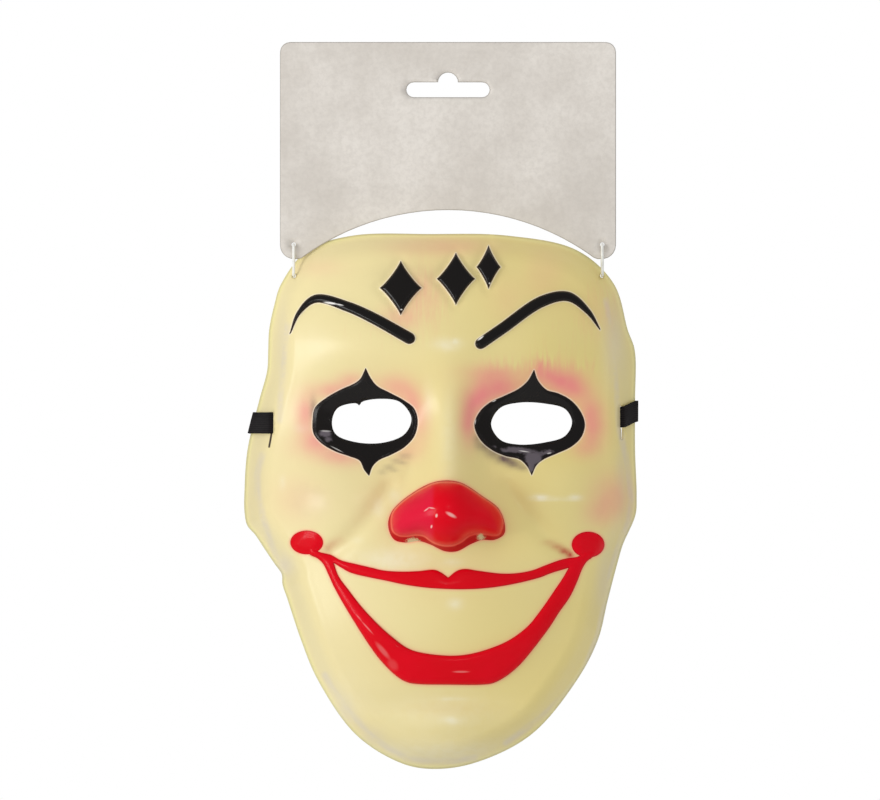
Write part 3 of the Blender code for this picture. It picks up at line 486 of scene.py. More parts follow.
def inside(points, loop):
    """Whether each point is inside a closed loop."""
    found = np.zeros(len(points), bool)
    for (x1, z1), (x2, z2) in zip(loop, np.roll(loop, -1, axis=0)):
        if z1 == z2:
            continue
        crosses = (z1 > points[:, 1]) != (z2 > points[:, 1])
        found ^= crosses & (points[:, 0] < x1 + (points[:, 1] - z1) * (x2 - x1) / (z2 - z1))
    return found


def depth_inside(points, loop):
    """Distance to a closed loop, positive inside it and negative outside."""
    return np.where(inside(points, loop), 1, -1) * distance(points, loop)


def soft_depth(points, loop):
    """Like the depth inside a loop, but with no crease along the loop's middle line."""
    total = np.zeros(len(points))
    for start, end in zip(loop, np.roll(loop, -1, axis=0)):
        step = end - start
        length = np.linalg.norm(step)
        along = (points - start) @ step / length
        height = np.abs(np.cross(step / length, points - start))
        height = np.maximum(height, 1e-5)
        for sign, reach in ((1, along), (-1, along - length)):
            bent = np.arctan(reach / height) / height
            total += sign * (reach / (reach**2 + height**2) + bent) / (2 * height**2)
    return np.where(inside(points, loop), (2 * np.abs(total) / math.pi) ** (-1 / 3), 0)


def ramp(t):
    t = np.clip(t, 0, 1)
    return t * t * (3 - 2 * t)


def dome(t):
    """Rises steeply from 0, like a quarter circle, and is level at 1."""
    return np.sqrt(1 - (1 - np.clip(t, 0, 1)) ** 2)


def mask_loops(step):
    """Every outline on the shell, at one spacing."""
    return {
        "outline": smooth_loop(OUTLINE, step),
        "eyes": [cornered_loop(runs, step) for runs in EYE_PAINT],
        "holes": [smooth_loop(hole, step) for hole in EYE_HOLES],
        "nose": cornered_loop(NOSE_PAINT, step),
        "ridge": smooth_loop(NOSE_RIDGE, step),
        "mouth": cornered_loop(MOUTH_OUTER, step),
        "mouth_gap": cornered_loop(MOUTH_INNER, step),
        "dots": [ellipse_loop(*dot, step) for dot in CHEEK_DOTS],
        "brows": [brow_loop(brow, step) for brow in BROWS],
        "lozenges": [lozenge_loop(*lozenge, step) for lozenge in LOZENGES],
    }


FINE = mask_loops(FINE_STEP)
FOLD_LINES = [spline(placed(fold), closed=False) for fold in FOLDS]
RIDGE_FULL_DEPTH = float(soft_depth(placed([NOSE_TIP]), FINE["ridge"])[0])


def add_spots(total, points, rows, scale=1.0):
    """Adds a table's soft round spots to the number at each point."""
    across, down = across_down(points)
    for middle, height, wide, high, strength in rows:
        total += scale * strength * np.exp(-(((across - middle) / wide) ** 2) - ((down - height) / high) ** 2)
    return total


def broad_reach(points):
    """How far the plain face, with no features, reaches in front of the mask's back plane."""
    across, down = across_down(points)
    reach = FACE_DEPTH * smooth_table(PROFILE, down)
    reach -= SIDE_FALL * (1 - np.sqrt(np.maximum(1 - (points[:, 0] / SECTION_RADIUS) ** 2, STEEPEST)))
    add_spots(reach, points, FORMS, FORM_RISE)
    for fold in FOLD_LINES:
        reach -= FOLD_DEPTH * np.exp(-((distance(points, fold, closed=False) / FOLD_WIDTH) ** 2))
    half_bridge = smooth_table(BRIDGE, down)
    bridge = smooth_table(BRIDGE, down, column=2)
    reach += BRIDGE_REACH * bridge * (1 - np.clip(np.abs(across / half_bridge), 0, 1) ** 2) ** 2
    edge = np.maximum(depth_inside(points, FINE["outline"]), 0) / RIM_RUN
    rim_rise = RIM_RISE * smooth_table(RIM_BY_HEIGHT, down)
    return reach - rim_rise * (1 - smooth_table(RIM_SECTION, np.minimum(edge, RIM_SECTION[-1][0])))


def ridge_depth(points, loops):
    """How deep each point is inside the nose's ridge, which leaves room for its side within the paint."""
    return np.minimum(depth_inside(points, loops["ridge"]), depth_inside(points, loops["nose"]) - NOSE_WALL)


def nose_reach(points):
    """The nose: a steep side up to a ridge, and a full dome inside it."""
    in_nose = depth_inside(points, FINE["nose"])
    in_ridge = ridge_depth(points, FINE)
    side = np.clip(in_nose / np.maximum(in_nose - np.minimum(in_ridge, 0), 1e-6), 0, 1)
    side = np.where(in_ridge > 0, 1, np.where(in_nose > 0, side, 0))
    full = soft_depth(points, FINE["ridge"]) / RIDGE_FULL_DEPTH
    return side * (NOSE_SIDE + (NOSE_REACH - NOSE_SIDE) * dome(full) ** NOSE_POWER)


def mouth_depth(points):
    """How deep each point is in the lips' paint, negative outside it."""
    return np.minimum(depth_inside(points, FINE["mouth"]), -depth_inside(points, FINE["mouth_gap"]))


def mouth_reach(points):
    """The lips and the dots at their corners. They run into each other, so the higher one counts."""
    down = across_down(points)[1]
    lips = LIP_RISE * smooth_table(LIP_BY_HEIGHT, down) * dome(mouth_depth(points) / LIP_EDGE)
    dots = [DOT_RISE * ramp(depth_inside(points, dot) / DOT_EDGE) for dot in FINE["dots"]]
    return np.max([lips, *dots], axis=0)


def feature_reach(points):
    """What the nose, eyes, brows, lozenges and mouth add to the plain face."""
    reach = nose_reach(points)
    for eye in FINE["eyes"]:
        reach += EYE_RISE * ramp(depth_inside(points, eye) / EYE_EDGE)
    for brow in FINE["brows"]:
        reach += BROW_RISE * dome(depth_inside(points, brow) / BROW_EDGE)
    for lozenge in FINE["lozenges"]:
        depth = depth_inside(points, lozenge)
        reach += LOZENGE_RISE * dome(depth / LOZENGE_EDGE)
        reach -= MOAT_DEPTH * np.exp(-(((depth + MOAT_WIDTH) / MOAT_WIDTH) ** 2)) * (depth < 0)
    return reach + mouth_reach(points)


def mask_reach(points):
    return broad_reach(points) + feature_reach(points)


TIE_X = TIE_ACROSS * MASK_HALF_WIDTH
TIE_MASK_Z = CARD_FOOT - CARD_TO_MASK - TIE_MASK_INSET
TIE_CARD_Z = CARD_FOOT + TIE_CARD_INSET

# The mask's wall is just behind the card where the ties go through it, so the card laps over its corners.
BACK_PLANE = float(mask_reach(np.array([(TIE_X, TIE_MASK_Z)]))[0]) + TIE_SETBACK


def on_face(points):
    """Positions (x, y, z) on the mask's outer surface of front view positions (x, z)."""
    return np.column_stack((points[:, 0], BACK_PLANE - mask_reach(points), points[:, 1]))


def inwards(loop, amount):
    """The loop's points moved inwards, or outwards if the amount is below 0.

    Those that come too near another side are left out.
    """
    along = np.roll(loop, -1, axis=0) - np.roll(loop, 1, axis=0)
    beside = np.column_stack((along[:, 1], -along[:, 0]))
    beside /= np.maximum(np.linalg.norm(beside, axis=1), 1e-9)[:, None]
    area = np.cross(loop, np.roll(loop, -1, axis=0)).sum()
    moved = loop + beside * amount * (-1 if area > 0 else 1)
    return moved[depth_inside(moved, loop) / amount > RING_ROOM]


def skin_line(side, z):
    """The outer surface at one height, from inside of the strap's slit to the rim.

    Gives its points and outward normals (x, y), and how far each is from the slit.
    """
    slit = STRAP_SIDES[side][0] * MASK_HALF_WIDTH
    line = spline(placed(OUTLINE), closed=True)
    near = line[(np.abs(line[:, 1] - z) < SKIN_REACH) & (line[:, 0] * slit > 0)]
    near = near[np.argsort(near[:, 1])]
    rim = float(np.interp(z, near[:, 1], near[:, 0]))
    across = np.linspace(slit - math.copysign(STRAP_TAIL + SKIN_ROOM, slit), rim, SKIN_STEPS)
    face = on_face(np.column_stack((across, np.full(SKIN_STEPS, z))))[:, :2]
    along = np.gradient(face, axis=0)
    along /= np.linalg.norm(along, axis=1)[:, None]
    normals = np.column_stack((along[:, 1], -along[:, 0])) * math.copysign(1, slit)
    lengths = lengths_along(face)
    zero = np.interp(abs(slit), np.abs(across), lengths)
    return face, normals, lengths - zero


def strap_start(side, z):
    """One edge of the strap at one side: its tail, its way through the slit, and round the rim."""
    face, normals, lengths = skin_line(side, z)
    half = STRAP_THICKNESS / 2
    outer = STRAP_GAP + half
    inner = -(MASK_WALL + STRAP_GAP + half)
    rim = lengths[-1]
    crossing = SLIT_WIDTH / 2
    stations = [(-STRAP_TAIL * share, inner) for share in TAIL_STATIONS]
    stations += [(place * crossing, share * inner) for place, share in SLIT_STATIONS_IN]
    stations += [(place * crossing, share * outer) for place, share in SLIT_STATIONS_OUT]
    stations += [(rim * share, outer) for share in OUTER_STATIONS]
    made = []
    for place, away in stations:
        point = [np.interp(place, lengths, face[:, axis]) for axis in (0, 1)]
        normal = [np.interp(place, lengths, normals[:, axis]) for axis in (0, 1)]
        made.append(np.array(point) + away * np.array(normal))
    along = face[-1] - face[-2]
    along /= np.linalg.norm(along)
    pivot = face[-1] - normals[-1] * MASK_WALL / 2
    radius = MASK_WALL / 2 + outer
    for turn in np.radians(STRAP_TURNS):
        made.append(pivot + radius * (np.cos(turn) * normals[-1] + np.sin(turn) * along))
    made = np.array(made)
    runs = np.array([place for place, _ in stations] + [rim] * len(STRAP_TURNS))
    return [Vector((x, y, z + STRAP_SIDES[side][2] * run)) for (x, y), run in zip(made, runs)]


def strap_lines():
    """The strap's upper edge, middle and lower edge, from its left tail to its right tail."""
    lines = []
    for edge in (0.5, 0, -0.5):
        starts = []
        for side in (0, 1):
            middle = MASK_TOP - STRAP_SIDES[side][1] * MASK_HEIGHT
            starts.append(strap_start(side, middle + edge * STRAP_WIDTH))
        left, right = starts[0][-1], starts[1][-1]
        back = Vector((0, math.cos(STRAP_LOOP_TILT), -math.sin(STRAP_LOOP_TILT)))
        level = Vector((0, 0, 1))
        tilted = Vector((0, math.sin(STRAP_LOOP_TILT), math.cos(STRAP_LOOP_TILT)))
        loop = []
        for step in range(1, LOOP_STEPS):
            turn = math.pi * step / LOOP_STEPS
            rim = left.lerp(right, (1 - math.cos(turn)) / 2)
            leaning = min(1.0, LEAN_RATE * math.sin(turn)) * edge * STRAP_WIDTH
            flare = STRAP_FLARE * math.sin(2 * turn) * math.sin(turn) * Vector((-1, 0, 0))
            loop.append(rim + STRAP_LOOP_REACH * math.sin(turn) * back + flare + leaning * (tilted - level))
        lines.append(starts[0] + loop + starts[1][::-1])
    return lines


def arc(centre, radius, start, end, steps=6):
    """Points on an arc, angles in degrees anticlockwise from +X."""
    return [
        (centre[0] + radius * math.cos(math.radians(turn)), centre[1] + radius * math.sin(math.radians(turn)))
        for turn in np.linspace(start, end, steps + 1)
    ]


def card_outline():
    """The card with rounded corners and an arch cut out of its foot, anticlockwise."""
    half = TIE_X + CARD_SIDE_MARGIN
    top, foot = SLOT_TOP_MARGIN, CARD_FOOT
    corner, toe = CARD_TOP_RADIUS, CARD_FOOT_RADIUS
    outline = arc((half - corner, top - corner), corner, 0, 90)
    outline += arc((corner - half, top - corner), corner, 90, 180)
    outline += arc((toe - half, foot + toe), toe, 180, 270)
    arch_half = half - toe - ARCH_FOOT / 2
    arch_radius = (arch_half**2 + ARCH_RISE**2) / (2 * ARCH_RISE)
    spread = math.degrees(math.asin(arch_half / arch_radius))
    outline += arc((0, foot + ARCH_RISE - arch_radius), arch_radius, 90 + spread, 90 - spread, 24)
    outline += arc((half - toe, foot + toe), toe, 270, 360)
    return outline


def slot_outline():
    """The hanging slot: a bar with round ends and a bump on top of its middle, whose top is the origin."""
    radius = SLOT_HEIGHT / 2
    middle = -SLOT_BUMP_RISE - radius
    end = SLOT_WIDTH / 2 - radius
    bump = SLOT_BUMP_WIDTH / 2
    outline = arc((end, middle), radius, -90, 90, 8)
    outline += [(bump, middle + radius)]
    outline += arc((0, -bump), bump, 0, 180, 10)
    outline += [(-bump, middle + radius)]
    outline += arc((-end, middle), radius, 90, 270, 8)
    return outline


def tie_route(sign):
    """The closed way of a tie: through the card, down in front, through the mask, and up behind its rim."""
    x = sign * TIE_X
    radius = TIE_DIAMETER / 2
    card_gap = CARD_THICKNESS / 2 + CLEARANCE + radius
    rim_z = MASK_TOP - outline_down(sign * TIE_ACROSS) * MASK_HEIGHT
    hole = on_face(np.array([(x, TIE_MASK_Z)]))[0]
    rim = on_face(np.array([(x, rim_z)]))[0]
    front = min(-card_gap, float(hole[1]) - 2 * radius)
    behind = float(rim[1]) + MASK_WALL + CLEARANCE + 2 * radius
    return [
        (x, 0, TIE_CARD_Z),
        (x, -card_gap, TIE_CARD_Z - radius),
        (x, front, (TIE_CARD_Z + TIE_MASK_Z) / 2),
        (x, front, TIE_MASK_Z + radius),
        (x, float(hole[1]) + MASK_WALL, TIE_MASK_Z),
        (x, behind, TIE_MASK_Z + radius),
        (x, behind, rim_z + radius),
        (x, card_gap, TIE_CARD_Z - radius),
    ]


def thinned(points, taken, least):
    """The points that are no nearer than the least distance to one that is taken."""
    tree = KDTree(len(taken))
    for index, (x, z) in enumerate(taken):
        tree.insert((x, 0, z), index)
    tree.balance()
    return [point for point in points if tree.find((point[0], 0, point[1]))[2] > least]


def even_lattice(low, high, step):
    """A lattice of points in a box of the front view, as near as can be to even triangles."""
    rows = np.arange(low[1], high[1], step * math.sqrt(0.75))
    points = []
    for index, z in enumerate(rows):
        across = np.arange(low[0] + index % 2 * step / 2, high[0], step)
        points.append(np.column_stack((across, np.full(len(across), z))))
    return np.vstack(points)


def flat_layout(outline, holes, lines, rings, lattice_step):
    """Front view points and triangles that keep every line, and fill the outline but not the holes."""
    points = []
    edges = []
    for line in (outline, *holes, *lines):
        first = len(points)
        points.extend(line)
        edges.extend((first + i, first + (i + 1) % len(line)) for i in range(len(line)))
    for ring, least in rings:
        points.extend(thinned(ring, points, least))
    spread = even_lattice(outline.min(axis=0), outline.max(axis=0), lattice_step)
    spread = spread[depth_inside(spread, outline) > LATTICE_EDGE_ROOM * lattice_step]
    points.extend(thinned(spread, points, LATTICE_ROOM * lattice_step))
    made, _, faces, *_ = delaunay_2d_cdt([Vector(point) for point in points], edges, [], 0, MERGE_DISTANCE)
    made = np.array([tuple(point) for point in made])
    centres = np.array([made[list(face)].mean(axis=0) for face in faces])
    kept = inside(centres, outline)
    for hole in holes:
        kept &= ~inside(centres, hole)
    faces = np.array([face for face, keep in zip(faces, kept) if keep and len(face) == 3])
    used = np.unique(faces)
    index = np.full(len(made), -1)
    index[used] = np.arange(len(used))
    return made[used], index[faces]


def add_object(name, data):
    made = bpy.data.objects.new(name, data)
    bpy.context.scene.collection.objects.link(made)
    return made


def mesh_piece(name, points, faces):
    """A mesh object with smooth faces that look along -Y."""
    mesh = bpy.data.meshes.new(name)
    mesh.from_pydata([tuple(point) for point in points], [], [tuple(face) for face in faces])
    tidy = bmesh.new()
    tidy.from_mesh(mesh)
    bmesh.ops.recalc_face_normals(tidy, faces=tidy.faces)
    if sum(face.normal.y * face.calc_area() for face in tidy.faces) > 0:
        bmesh.ops.reverse_faces(tidy, faces=tidy.faces)
    tidy.to_mesh(mesh)
    tidy.free()
    mesh.shade_smooth()
    return add_object(name, mesh)


def thicken(piece, thickness, offset):
    wall = piece.modifiers.new("Wall", "SOLIDIFY")
    wall.thickness = thickness
    wall.offset = offset
    return wall


def millimetres(distances, low, high):
    """Distances for a material to read, kept within the range that it needs."""
    return np.clip(distances * 1000, low, high)


def deepest(points, loops):
    """The greatest depth of each point inside any of the loops."""
    return np.max([depth_inside(points, loop) for loop in loops], axis=0)


def put_values(piece, **columns):
    """Stores a number for each point that the material reads by name."""
    for name, values in columns.items():
        layer = piece.data.attributes.new(name, "FLOAT", "POINT")
        layer.data.foreach_set("value", np.asarray(values, np.float32))


def hand_over(piece, node):
    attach(piece, "root")
    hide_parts(node)


def slit_outline(side):
    """The slit for the strap, from the front. The right one runs on below the strap as a thin open line."""
    (x, z), = placed([STRAP_SIDES[side][:2]])
    half = SLIT_WIDTH * SLIT_OPENING
    top, foot = z + STRAP_WIDTH * SLIT_OVER_STRAP, z - STRAP_WIDTH / 2
    corners = [(x - half, top), (x - half, foot), (x + half, foot), (x + half, top)]
    if side == 1:
        corners[2:2] = [(x + aside, foot - below) for aside, below in OPEN_LINE]
    return evenly(np.array(corners), SLIT_STEP, closed=True)


def slit_groove():
    """The closed line that runs on below the left slit."""
    (x, z), = placed([STRAP_SIDES[0][:2]])
    foot = z - STRAP_WIDTH * CLOSED_LINE_START
    return np.array([(x + aside, foot - below * SLIT_TAIL) for aside, below in CLOSED_LINE])


def tie_hole(sign):
    turns = np.linspace(0, 2 * math.pi, TIE_HOLE_STEPS + 1)[:-1]
    radius = TIE_DIAMETER / 2 + CLEARANCE
    return np.array((sign * TIE_X, TIE_MASK_Z)) + radius * np.column_stack((np.cos(turns), np.sin(turns)))


# The mask's materials, in the order of its slots
CREAM, RED, BLACK, INNER = range(4)


def build_mask():
    loops = mask_loops(MASK_STEP)
    holes = [*loops["holes"], slit_outline(0), slit_outline(1), tie_hole(-1), tie_hole(1)]
    features = [*loops["eyes"], loops["nose"], loops["mouth"], *loops["dots"], *loops["brows"],
                *loops["lozenges"], loops["ridge"]]
    rings = []
    for line, side in [(line, 1) for line in features] + [(loops["mouth_gap"], -1)]:
        for amount in RING_DEPTHS:
            rings.append((inwards(line, side * amount), min(amount, RING_SPACING) / 2))
        rings.append((inwards(line, -side * OUTER_RING[0]), OUTER_RING[1]))
    for share in RIM_RINGS:
        rings.append((inwards(loops["outline"], RIM_RUN * share), RIM_RING_SPACING))
    groove = evenly(slit_groove(), CLOSED_LINE_STEP, closed=False)
    for aside in (0, -CLOSED_LINE_STEP, CLOSED_LINE_STEP):
        rings.append((groove + (aside, 0), CLOSED_LINE_SPACING))
    points, faces = flat_layout(loops["outline"], holes, [*features, loops["mouth_gap"]], rings, MASK_LATTICE)
    mask = mesh_piece("mask_face", on_face(points), faces)
    reds = (loops["nose"], *loops["dots"])
    blacks = (*loops["eyes"], *loops["brows"], *loops["lozenges"])
    off_the_nose = depth_inside(points, loops["nose"]) < -NOSE_EDGE_ROOM
    rim_highlight_gaps = [distance(points, placed(line), closed=False) for line in RIM_HIGHLIGHT_LINES]
    put_values(
        mask,
        red=millimetres(np.maximum(mouth_depth(points), deepest(points, reds)), -8, 8),
        black=millimetres(deepest(points, blacks), -8, 8),
        ridge=np.where(off_the_nose, OFF_THE_NOSE, ridge_depth(points, loops) * 1000),
        strip=millimetres(depth_inside(points, loops["outline"]), 0, 30),
        pale=millimetres(np.min(rim_highlight_gaps, axis=0), 0, 9),
        groove=millimetres(distance(points, slit_groove(), closed=False), 0, 5),
        **{name: add_spots(np.zeros(len(points)), points, rows) for name, rows in SPOTS.items()},
    )
    thicken(mask, MASK_WALL, -1).material_offset = INNER
    for made in (cream_material(), red_material(), black_material(), inner_material()):
        mask.data.materials.append(made)
    centres = points[faces].mean(axis=1)
    in_lips = inside(centres, loops["mouth"]) & ~inside(centres, loops["mouth_gap"])
    kinds = np.where(in_lips, RED, CREAM).astype(np.int32)
    for kind, outlines in ((RED, reds), (BLACK, blacks)):
        for line in outlines:
            kinds[inside(centres, line)] = kind
    mask.data.polygons.foreach_set("material_index", kinds)
    hand_over(mask, "mask_shell")


# Soft round spots of paint and wear: across, down, half size across, half size down, strength.
SPOTS = {
    # Rosy paint, made deeper as painted shade right of the nose bridge and on the left cheek
    "blush_and_shade": thousandths((
        (-723, 336, 56, 37.4, 550), (-667, 387, 76, 22.4, 460), (-534, 415, 117, 18.7, 460),
        (-590, 293, 112, 16.8, 420), (-489, 273, 71, 15, 300), (-275, 286, 92, 22.4, 460),
        (-188, 316, 56, 28, 380), (-142, 357, 51, 41.1, 320), (-214, 404, 71, 22.4, 220),
        (-753, 394, 92, 26.2, 120), (265, 288, 137, 26.2, 620), (153, 314, 66, 29.9, 460),
        (102, 355, 46, 41.1, 560), (224, 258, 142, 16.8, 320), (555, 273, 122, 26.2, 620),
        (636, 293, 81, 24.3, 400), (483, 254, 66, 18.7, 380), (723, 327, 66, 31.8, 420),
        (738, 366, 66, 33.7, 440), (692, 400, 76, 18.7, 300), (829, 490, 92, 41.1, 380),
        (763, 523, 81, 24.3, 180), (753, 142, 112, 44.9, 100), (-117, 116, 102, 52.3, 240),
        (-244, 157, 92, 24.3, 280), (-36, 24, 254, 18.7, 240), (494, 76, 102, 48.6, 140),
        (-641, 63, 122, 18.7, 100), (290, 123, 92, 41.1, 100), (-753, 497, 132, 41.1, 140),
    )),
    # Where that was put on with a dry brush
    "brushed": thousandths((
        (483, 235, 56, 22.4, 1200), (326, 243, 132, 13.1, 800), (672, 245, 122, 13.1, 900),
        (621, 189, 173, 33.7, 300), (-117, 123, 132, 63.6, 500), (-387, 179, 153, 37.4, 200),
        (773, 123, 112, 48.6, 300),
    )),
    # Grey smudges, and a spot of painted shade on the left cheek
    "smudge_and_shade": thousandths((
        (-219, 415, 31, 5.6, 380), (-260, 424, 31, 4.9, 380), (-300, 435, 31, 4.9, 340),
        (-336, 445, 25, 4.7, 300), (-229, 428, 25, 3.7, 350), (-275, 441, 25, 3.7, 300),
        (-685, 327, 17, 20.6, 700), (153, 381, 25, 9.3, 550), (183, 396, 36, 9.3, 1000),
        (229, 409, 41, 9.3, 1000), (285, 420, 46, 8.4, 1000), (341, 430, 41, 7.5, 850),
        (387, 437, 31, 5.6, 500), (-239, 84, 137, 29.9, 200), (-697, 497, 102, 33.7, 120),
        (41, 76, 122, 28, 200), (209, 54, 87, 24.3, 180),
    )),
    # Painted shade, reddish, in the creases at the corners of the mouth
    "crease_shade": thousandths((
        (-611, 587, 20, 7.5, 340), (-585, 579, 25, 7.5, 260), (-550, 572, 31, 7.5, 140),
        (621, 600, 20, 6.5, 1000), (590, 592, 25, 5.6, 900), (555, 584, 31, 5.6, 500),
        (514, 576, 36, 5.6, 250),
    )),
    # Painted sheen: paler patches on the black paint that stand for reflected light
    "painted_sheen": thousandths((
        (-626, 372, 41, 6.4, 1000), (-606, 385, 36, 6.5, 700), (-672, 359, 25, 7.5, 400),
        (-651, 333, 31, 5.6, 300), (336, 403, 76, 6, 1100), (433, 419, 51, 13.1, 1100),
        (422, 437, 15, 11.2, 800), (509, 407, 41, 4.9, 800), (234, 396, 41, 3.7, 450),
    )),
    # Painted highlights on the plastic
    "painted_highlight": thousandths((
        (468, 492, 41, 4.9, 750), (646, 492, 31, 4.9, 600), (555, 495, 92, 3.7, 300),
        (-5, 207, 66, 11.2, 450), (36, 200, 20, 3.7, 500), (20, 613, 46, 6.5, 350),
        (36, 690, 36, 9.3, 500), (20, 867, 71, 2.6, 450), (25, 908, 51, 6.5, 500),
        (-662, 207, 81, 33.7, 100), (-840, 465, 15, 13.1, 300), (-738, 363, 41, 7.5, 300),
        (-458, 572, 25, 5.6, 200), (-351, 512, 31, 16.8, 300), (5, 385, 41, 82.3, 220),
        (-102, 320, 25, 33.7, 250), (-270, 492, 31, 15, 300), (-285, 609, 173, 20.6, 460),
        (-41, 966, 356, 20.6, 320), (-15, 893, 305, 41.1, 200), (-550, 871, 132, 56.1, 150),
    )),
    # Painted reflections: greyish bands near the rim
    "rim_reflection": thousandths((
        (845, 207, 56, 82.3, 600), (804, 665, 46, 67.3, 500), (-835, 621, 46, 20.6, 650),
        (-840, 217, 25, 82.3, 400), (885, 441, 31, 37.4, 300), (-524, 893, 46, 29.9, 400),
        (-387, 942, 61, 18.7, 350),
    )),
    # Where the red paint is chipped
    "chip": thousandths((
        (-178, 574.5, 36, 8, 1000), (166, 565.5, 22, 7, 900),
    )),
}

# Painted highlights, small pale marks: across and down in thousandths, half width and half height in
# millimetres, turn in degrees, strength.
BLACK_GLINTS = (
    (-597.9, 129.2, 3.87, 0.64, 8, 0.9), (-549.6, 132.2, 2.15, 0.39, 12, 0.8),
    (165.4, 194.6, 2.15, 0.56, -38, 0.9), (138.9, 348.5, 0.39, 2.15, 4, 0.7),
    (234.1, 311.7, 1.29, 0.34, -24, 0.7), (-620.8, 368.1, 3.01, 0.52, 3, 0.35),
    (386.7, 405.9, 3.01, 0.34, 8, 0.6), (514, 409.3, 1.29, 0.34, -10, 0.6),
    (-564.9, 401.8, 3.87, 0.34, 27, 0.4), (-236.6, 141.5, 0.69, 0.43, 0, 0.8),
    (-106.9, 131.6, 0.69, 0.47, 0, 0.7), (-45.8, 129.8, 0.43, 0.52, 0, 0.7),
    (56, 126, 0.56, 0.43, 0, 0.7), (211.2, 92.4, 0.56, 0.56, 0, 0.8),
)
RED_GLINTS = (
    (-109.4, 514, 1.72, 0.39, -35, 0.65), (-84, 511, 1.93, 0.39, 8, 0.62),
    (15.3, 523.7, 3.23, 1.03, 28, 0.6), (-58.5, 525.2, 0.69, 1.12, 10, 0.8),
    (-84, 545.7, 0.52, 1.03, 12, 0.85), (-264.6, 505.6, 2.58, 0.43, -38, 0.5),
    (66.2, 816.8, 4.73, 0.6, 0, 0.24), (-409.6, 734.6, 0.47, 4.73, -42, 0.24),
    (-330.8, 777.6, 1.46, 6.02, -40, 0.16), (-452.9, 715.9, 0.43, 2.58, -40, 0.18),
    (-279.9, 803.7, 2.58, 3.87, -40, 0.07),
)
# They reach this far in depth, so only across and down count.
GLINT_DEPTH = 1.0
# The ridge's depth outside the nose's paint, in millimetres: more than any inside it. Points just outside
# the paint still have their own.
OFF_THE_NOSE = 50
NOSE_EDGE_ROOM = 0.0001

# Painted highlights: pale lines along the rolled rim: across, down.
RIM_HIGHLIGHT_LINES = thousandths((
    ((-819, 170), (-835, 235), (-850, 301), (-855, 348)),
    ((-947, 413), (-972, 450), (-967, 488), (-941, 529), (-906, 572), (-860, 615)),
    ((-626, 824), (-585, 852), (-499, 893), (-407, 931), (-305, 961), (-219, 978)),
    ((-219, 982), (-92, 985), (36, 985), (137, 979)),
    (
        (804, 123), (840, 198), (860, 310), (875, 366), (916, 437), (936, 497), (921, 538), (870, 583),
        (824, 632), (799, 684), (763, 750), (697, 811), (595, 862), (494, 897), (397, 925), (295, 951),
    ),
))


class Nodes:
    """Short words for making a material's nodes."""

    def __init__(self, name):
        self.material = bpy.data.materials.new(name)
        self.material.use_nodes = True
        self.tree = self.material.node_tree
        self.shader = self.tree.nodes["Principled BSDF"]
        self.colour = None

    def new(self, kind, values=(), **settings):
        node = self.tree.nodes.new(kind)
        for name, value in settings.items():
            setattr(node, name, value)
        for name, value in dict(values).items():
            self.put(node.inputs[name], value)
        return node

    def put(self, socket, value):
        if isinstance(value, bpy.types.NodeSocket):
            self.tree.links.new(value, socket)
        else:
            socket.default_value = value

    def attribute(self, name):
        return self.new("ShaderNodeAttribute", attribute_name=name).outputs["Fac"]

    def place(self):
        return self.new("ShaderNodeTexCoord").outputs["Object"]

    def scaled(self, vector, scale):
        return self.new("ShaderNodeMapping", {"Vector": vector, "Scale": scale}).outputs["Vector"]

    def noise(self, scale, detail=3.0, roughness=0.5, vector=None):
        values = {"Vector": vector or self.place(), "Scale": scale, "Detail": detail, "Roughness": roughness}
        return self.new("ShaderNodeTexNoise", values).outputs["Fac"]

    def between(self, amount, first, second):
        """Starts the colour as a mix of two."""
        self.colour = self.mix(amount, srgb(*first), srgb(*second))

    def tint(self, amount, red, green, blue):
        """Puts so much of a colour over the one so far."""
        self.colour = self.mix(amount, self.colour, srgb(red, green, blue))

    def glints(self, rows, *pale):
        """Puts small painted highlights over the colour so far, each fading from its middle."""
        for *measures, turn, strength in rows:
            across, down, half_width, half_height = thousandths(measures)
            (x, z), = placed([(across, down)])
            made = self.new("ShaderNodeMapping", {"Vector": self.place()}, vector_type="TEXTURE")
            made.inputs["Location"].default_value = (x, 0, z)
            made.inputs["Rotation"].default_value = (0, math.radians(turn), 0)
            made.inputs["Scale"].default_value = (half_width, GLINT_DEPTH, half_height)
            far = self.new("ShaderNodeVectorMath", {0: made.outputs["Vector"]}, operation="LENGTH")
            self.tint(self.span(far.outputs["Value"], 0.3, 1.0, strength, 0.0), *pale)

    def math(self, operation, a, b=0.0, clamp=False):
        made = self.new("ShaderNodeMath", {0: a, 1: b}, operation=operation, use_clamp=clamp)
        return made.outputs[0]

    def times(self, a, b, clamp=False):
        return self.math("MULTIPLY", a, b, clamp)

    def span(self, value, low, high, to_low=0.0, to_high=1.0, smooth=True):
        made = self.new(
            "ShaderNodeMapRange",
            {"Value": value, "From Min": low, "From Max": high, "To Min": to_low, "To Max": to_high},
            interpolation_type="SMOOTHSTEP" if smooth else "LINEAR",
        )
        return made.outputs["Result"]

    def speckled(self, noise, low, high):
        """A value that follows a noise, such as the roughness."""
        return self.span(noise, 0.3, 0.7, low, high, smooth=False)

    def mix(self, amount, a, b):
        made = self.new("ShaderNodeMix", data_type="RGBA")
        self.put(made.inputs["Factor"], amount)
        self.put(made.inputs["A"], a)
        self.put(made.inputs["B"], b)
        return made.outputs["Result"]

    def bump(self, height, distance, strength=1.0, normal=None):
        values = {"Height": height, "Distance": distance, "Strength": strength}
        if normal is not None:
            values["Normal"] = normal
        return self.new("ShaderNodeBump", values).outputs["Normal"]

    def finish(self, roughness, normal=None, **plain):
        self.put(self.shader.inputs["Base Color"], self.colour)
        self.put(self.shader.inputs["Roughness"], roughness)
        if normal is not None:
            self.put(self.shader.inputs["Normal"], normal)
        for name, value in plain.items():
            self.shader.inputs[name.replace("_", " ")].default_value = value
        return self.material


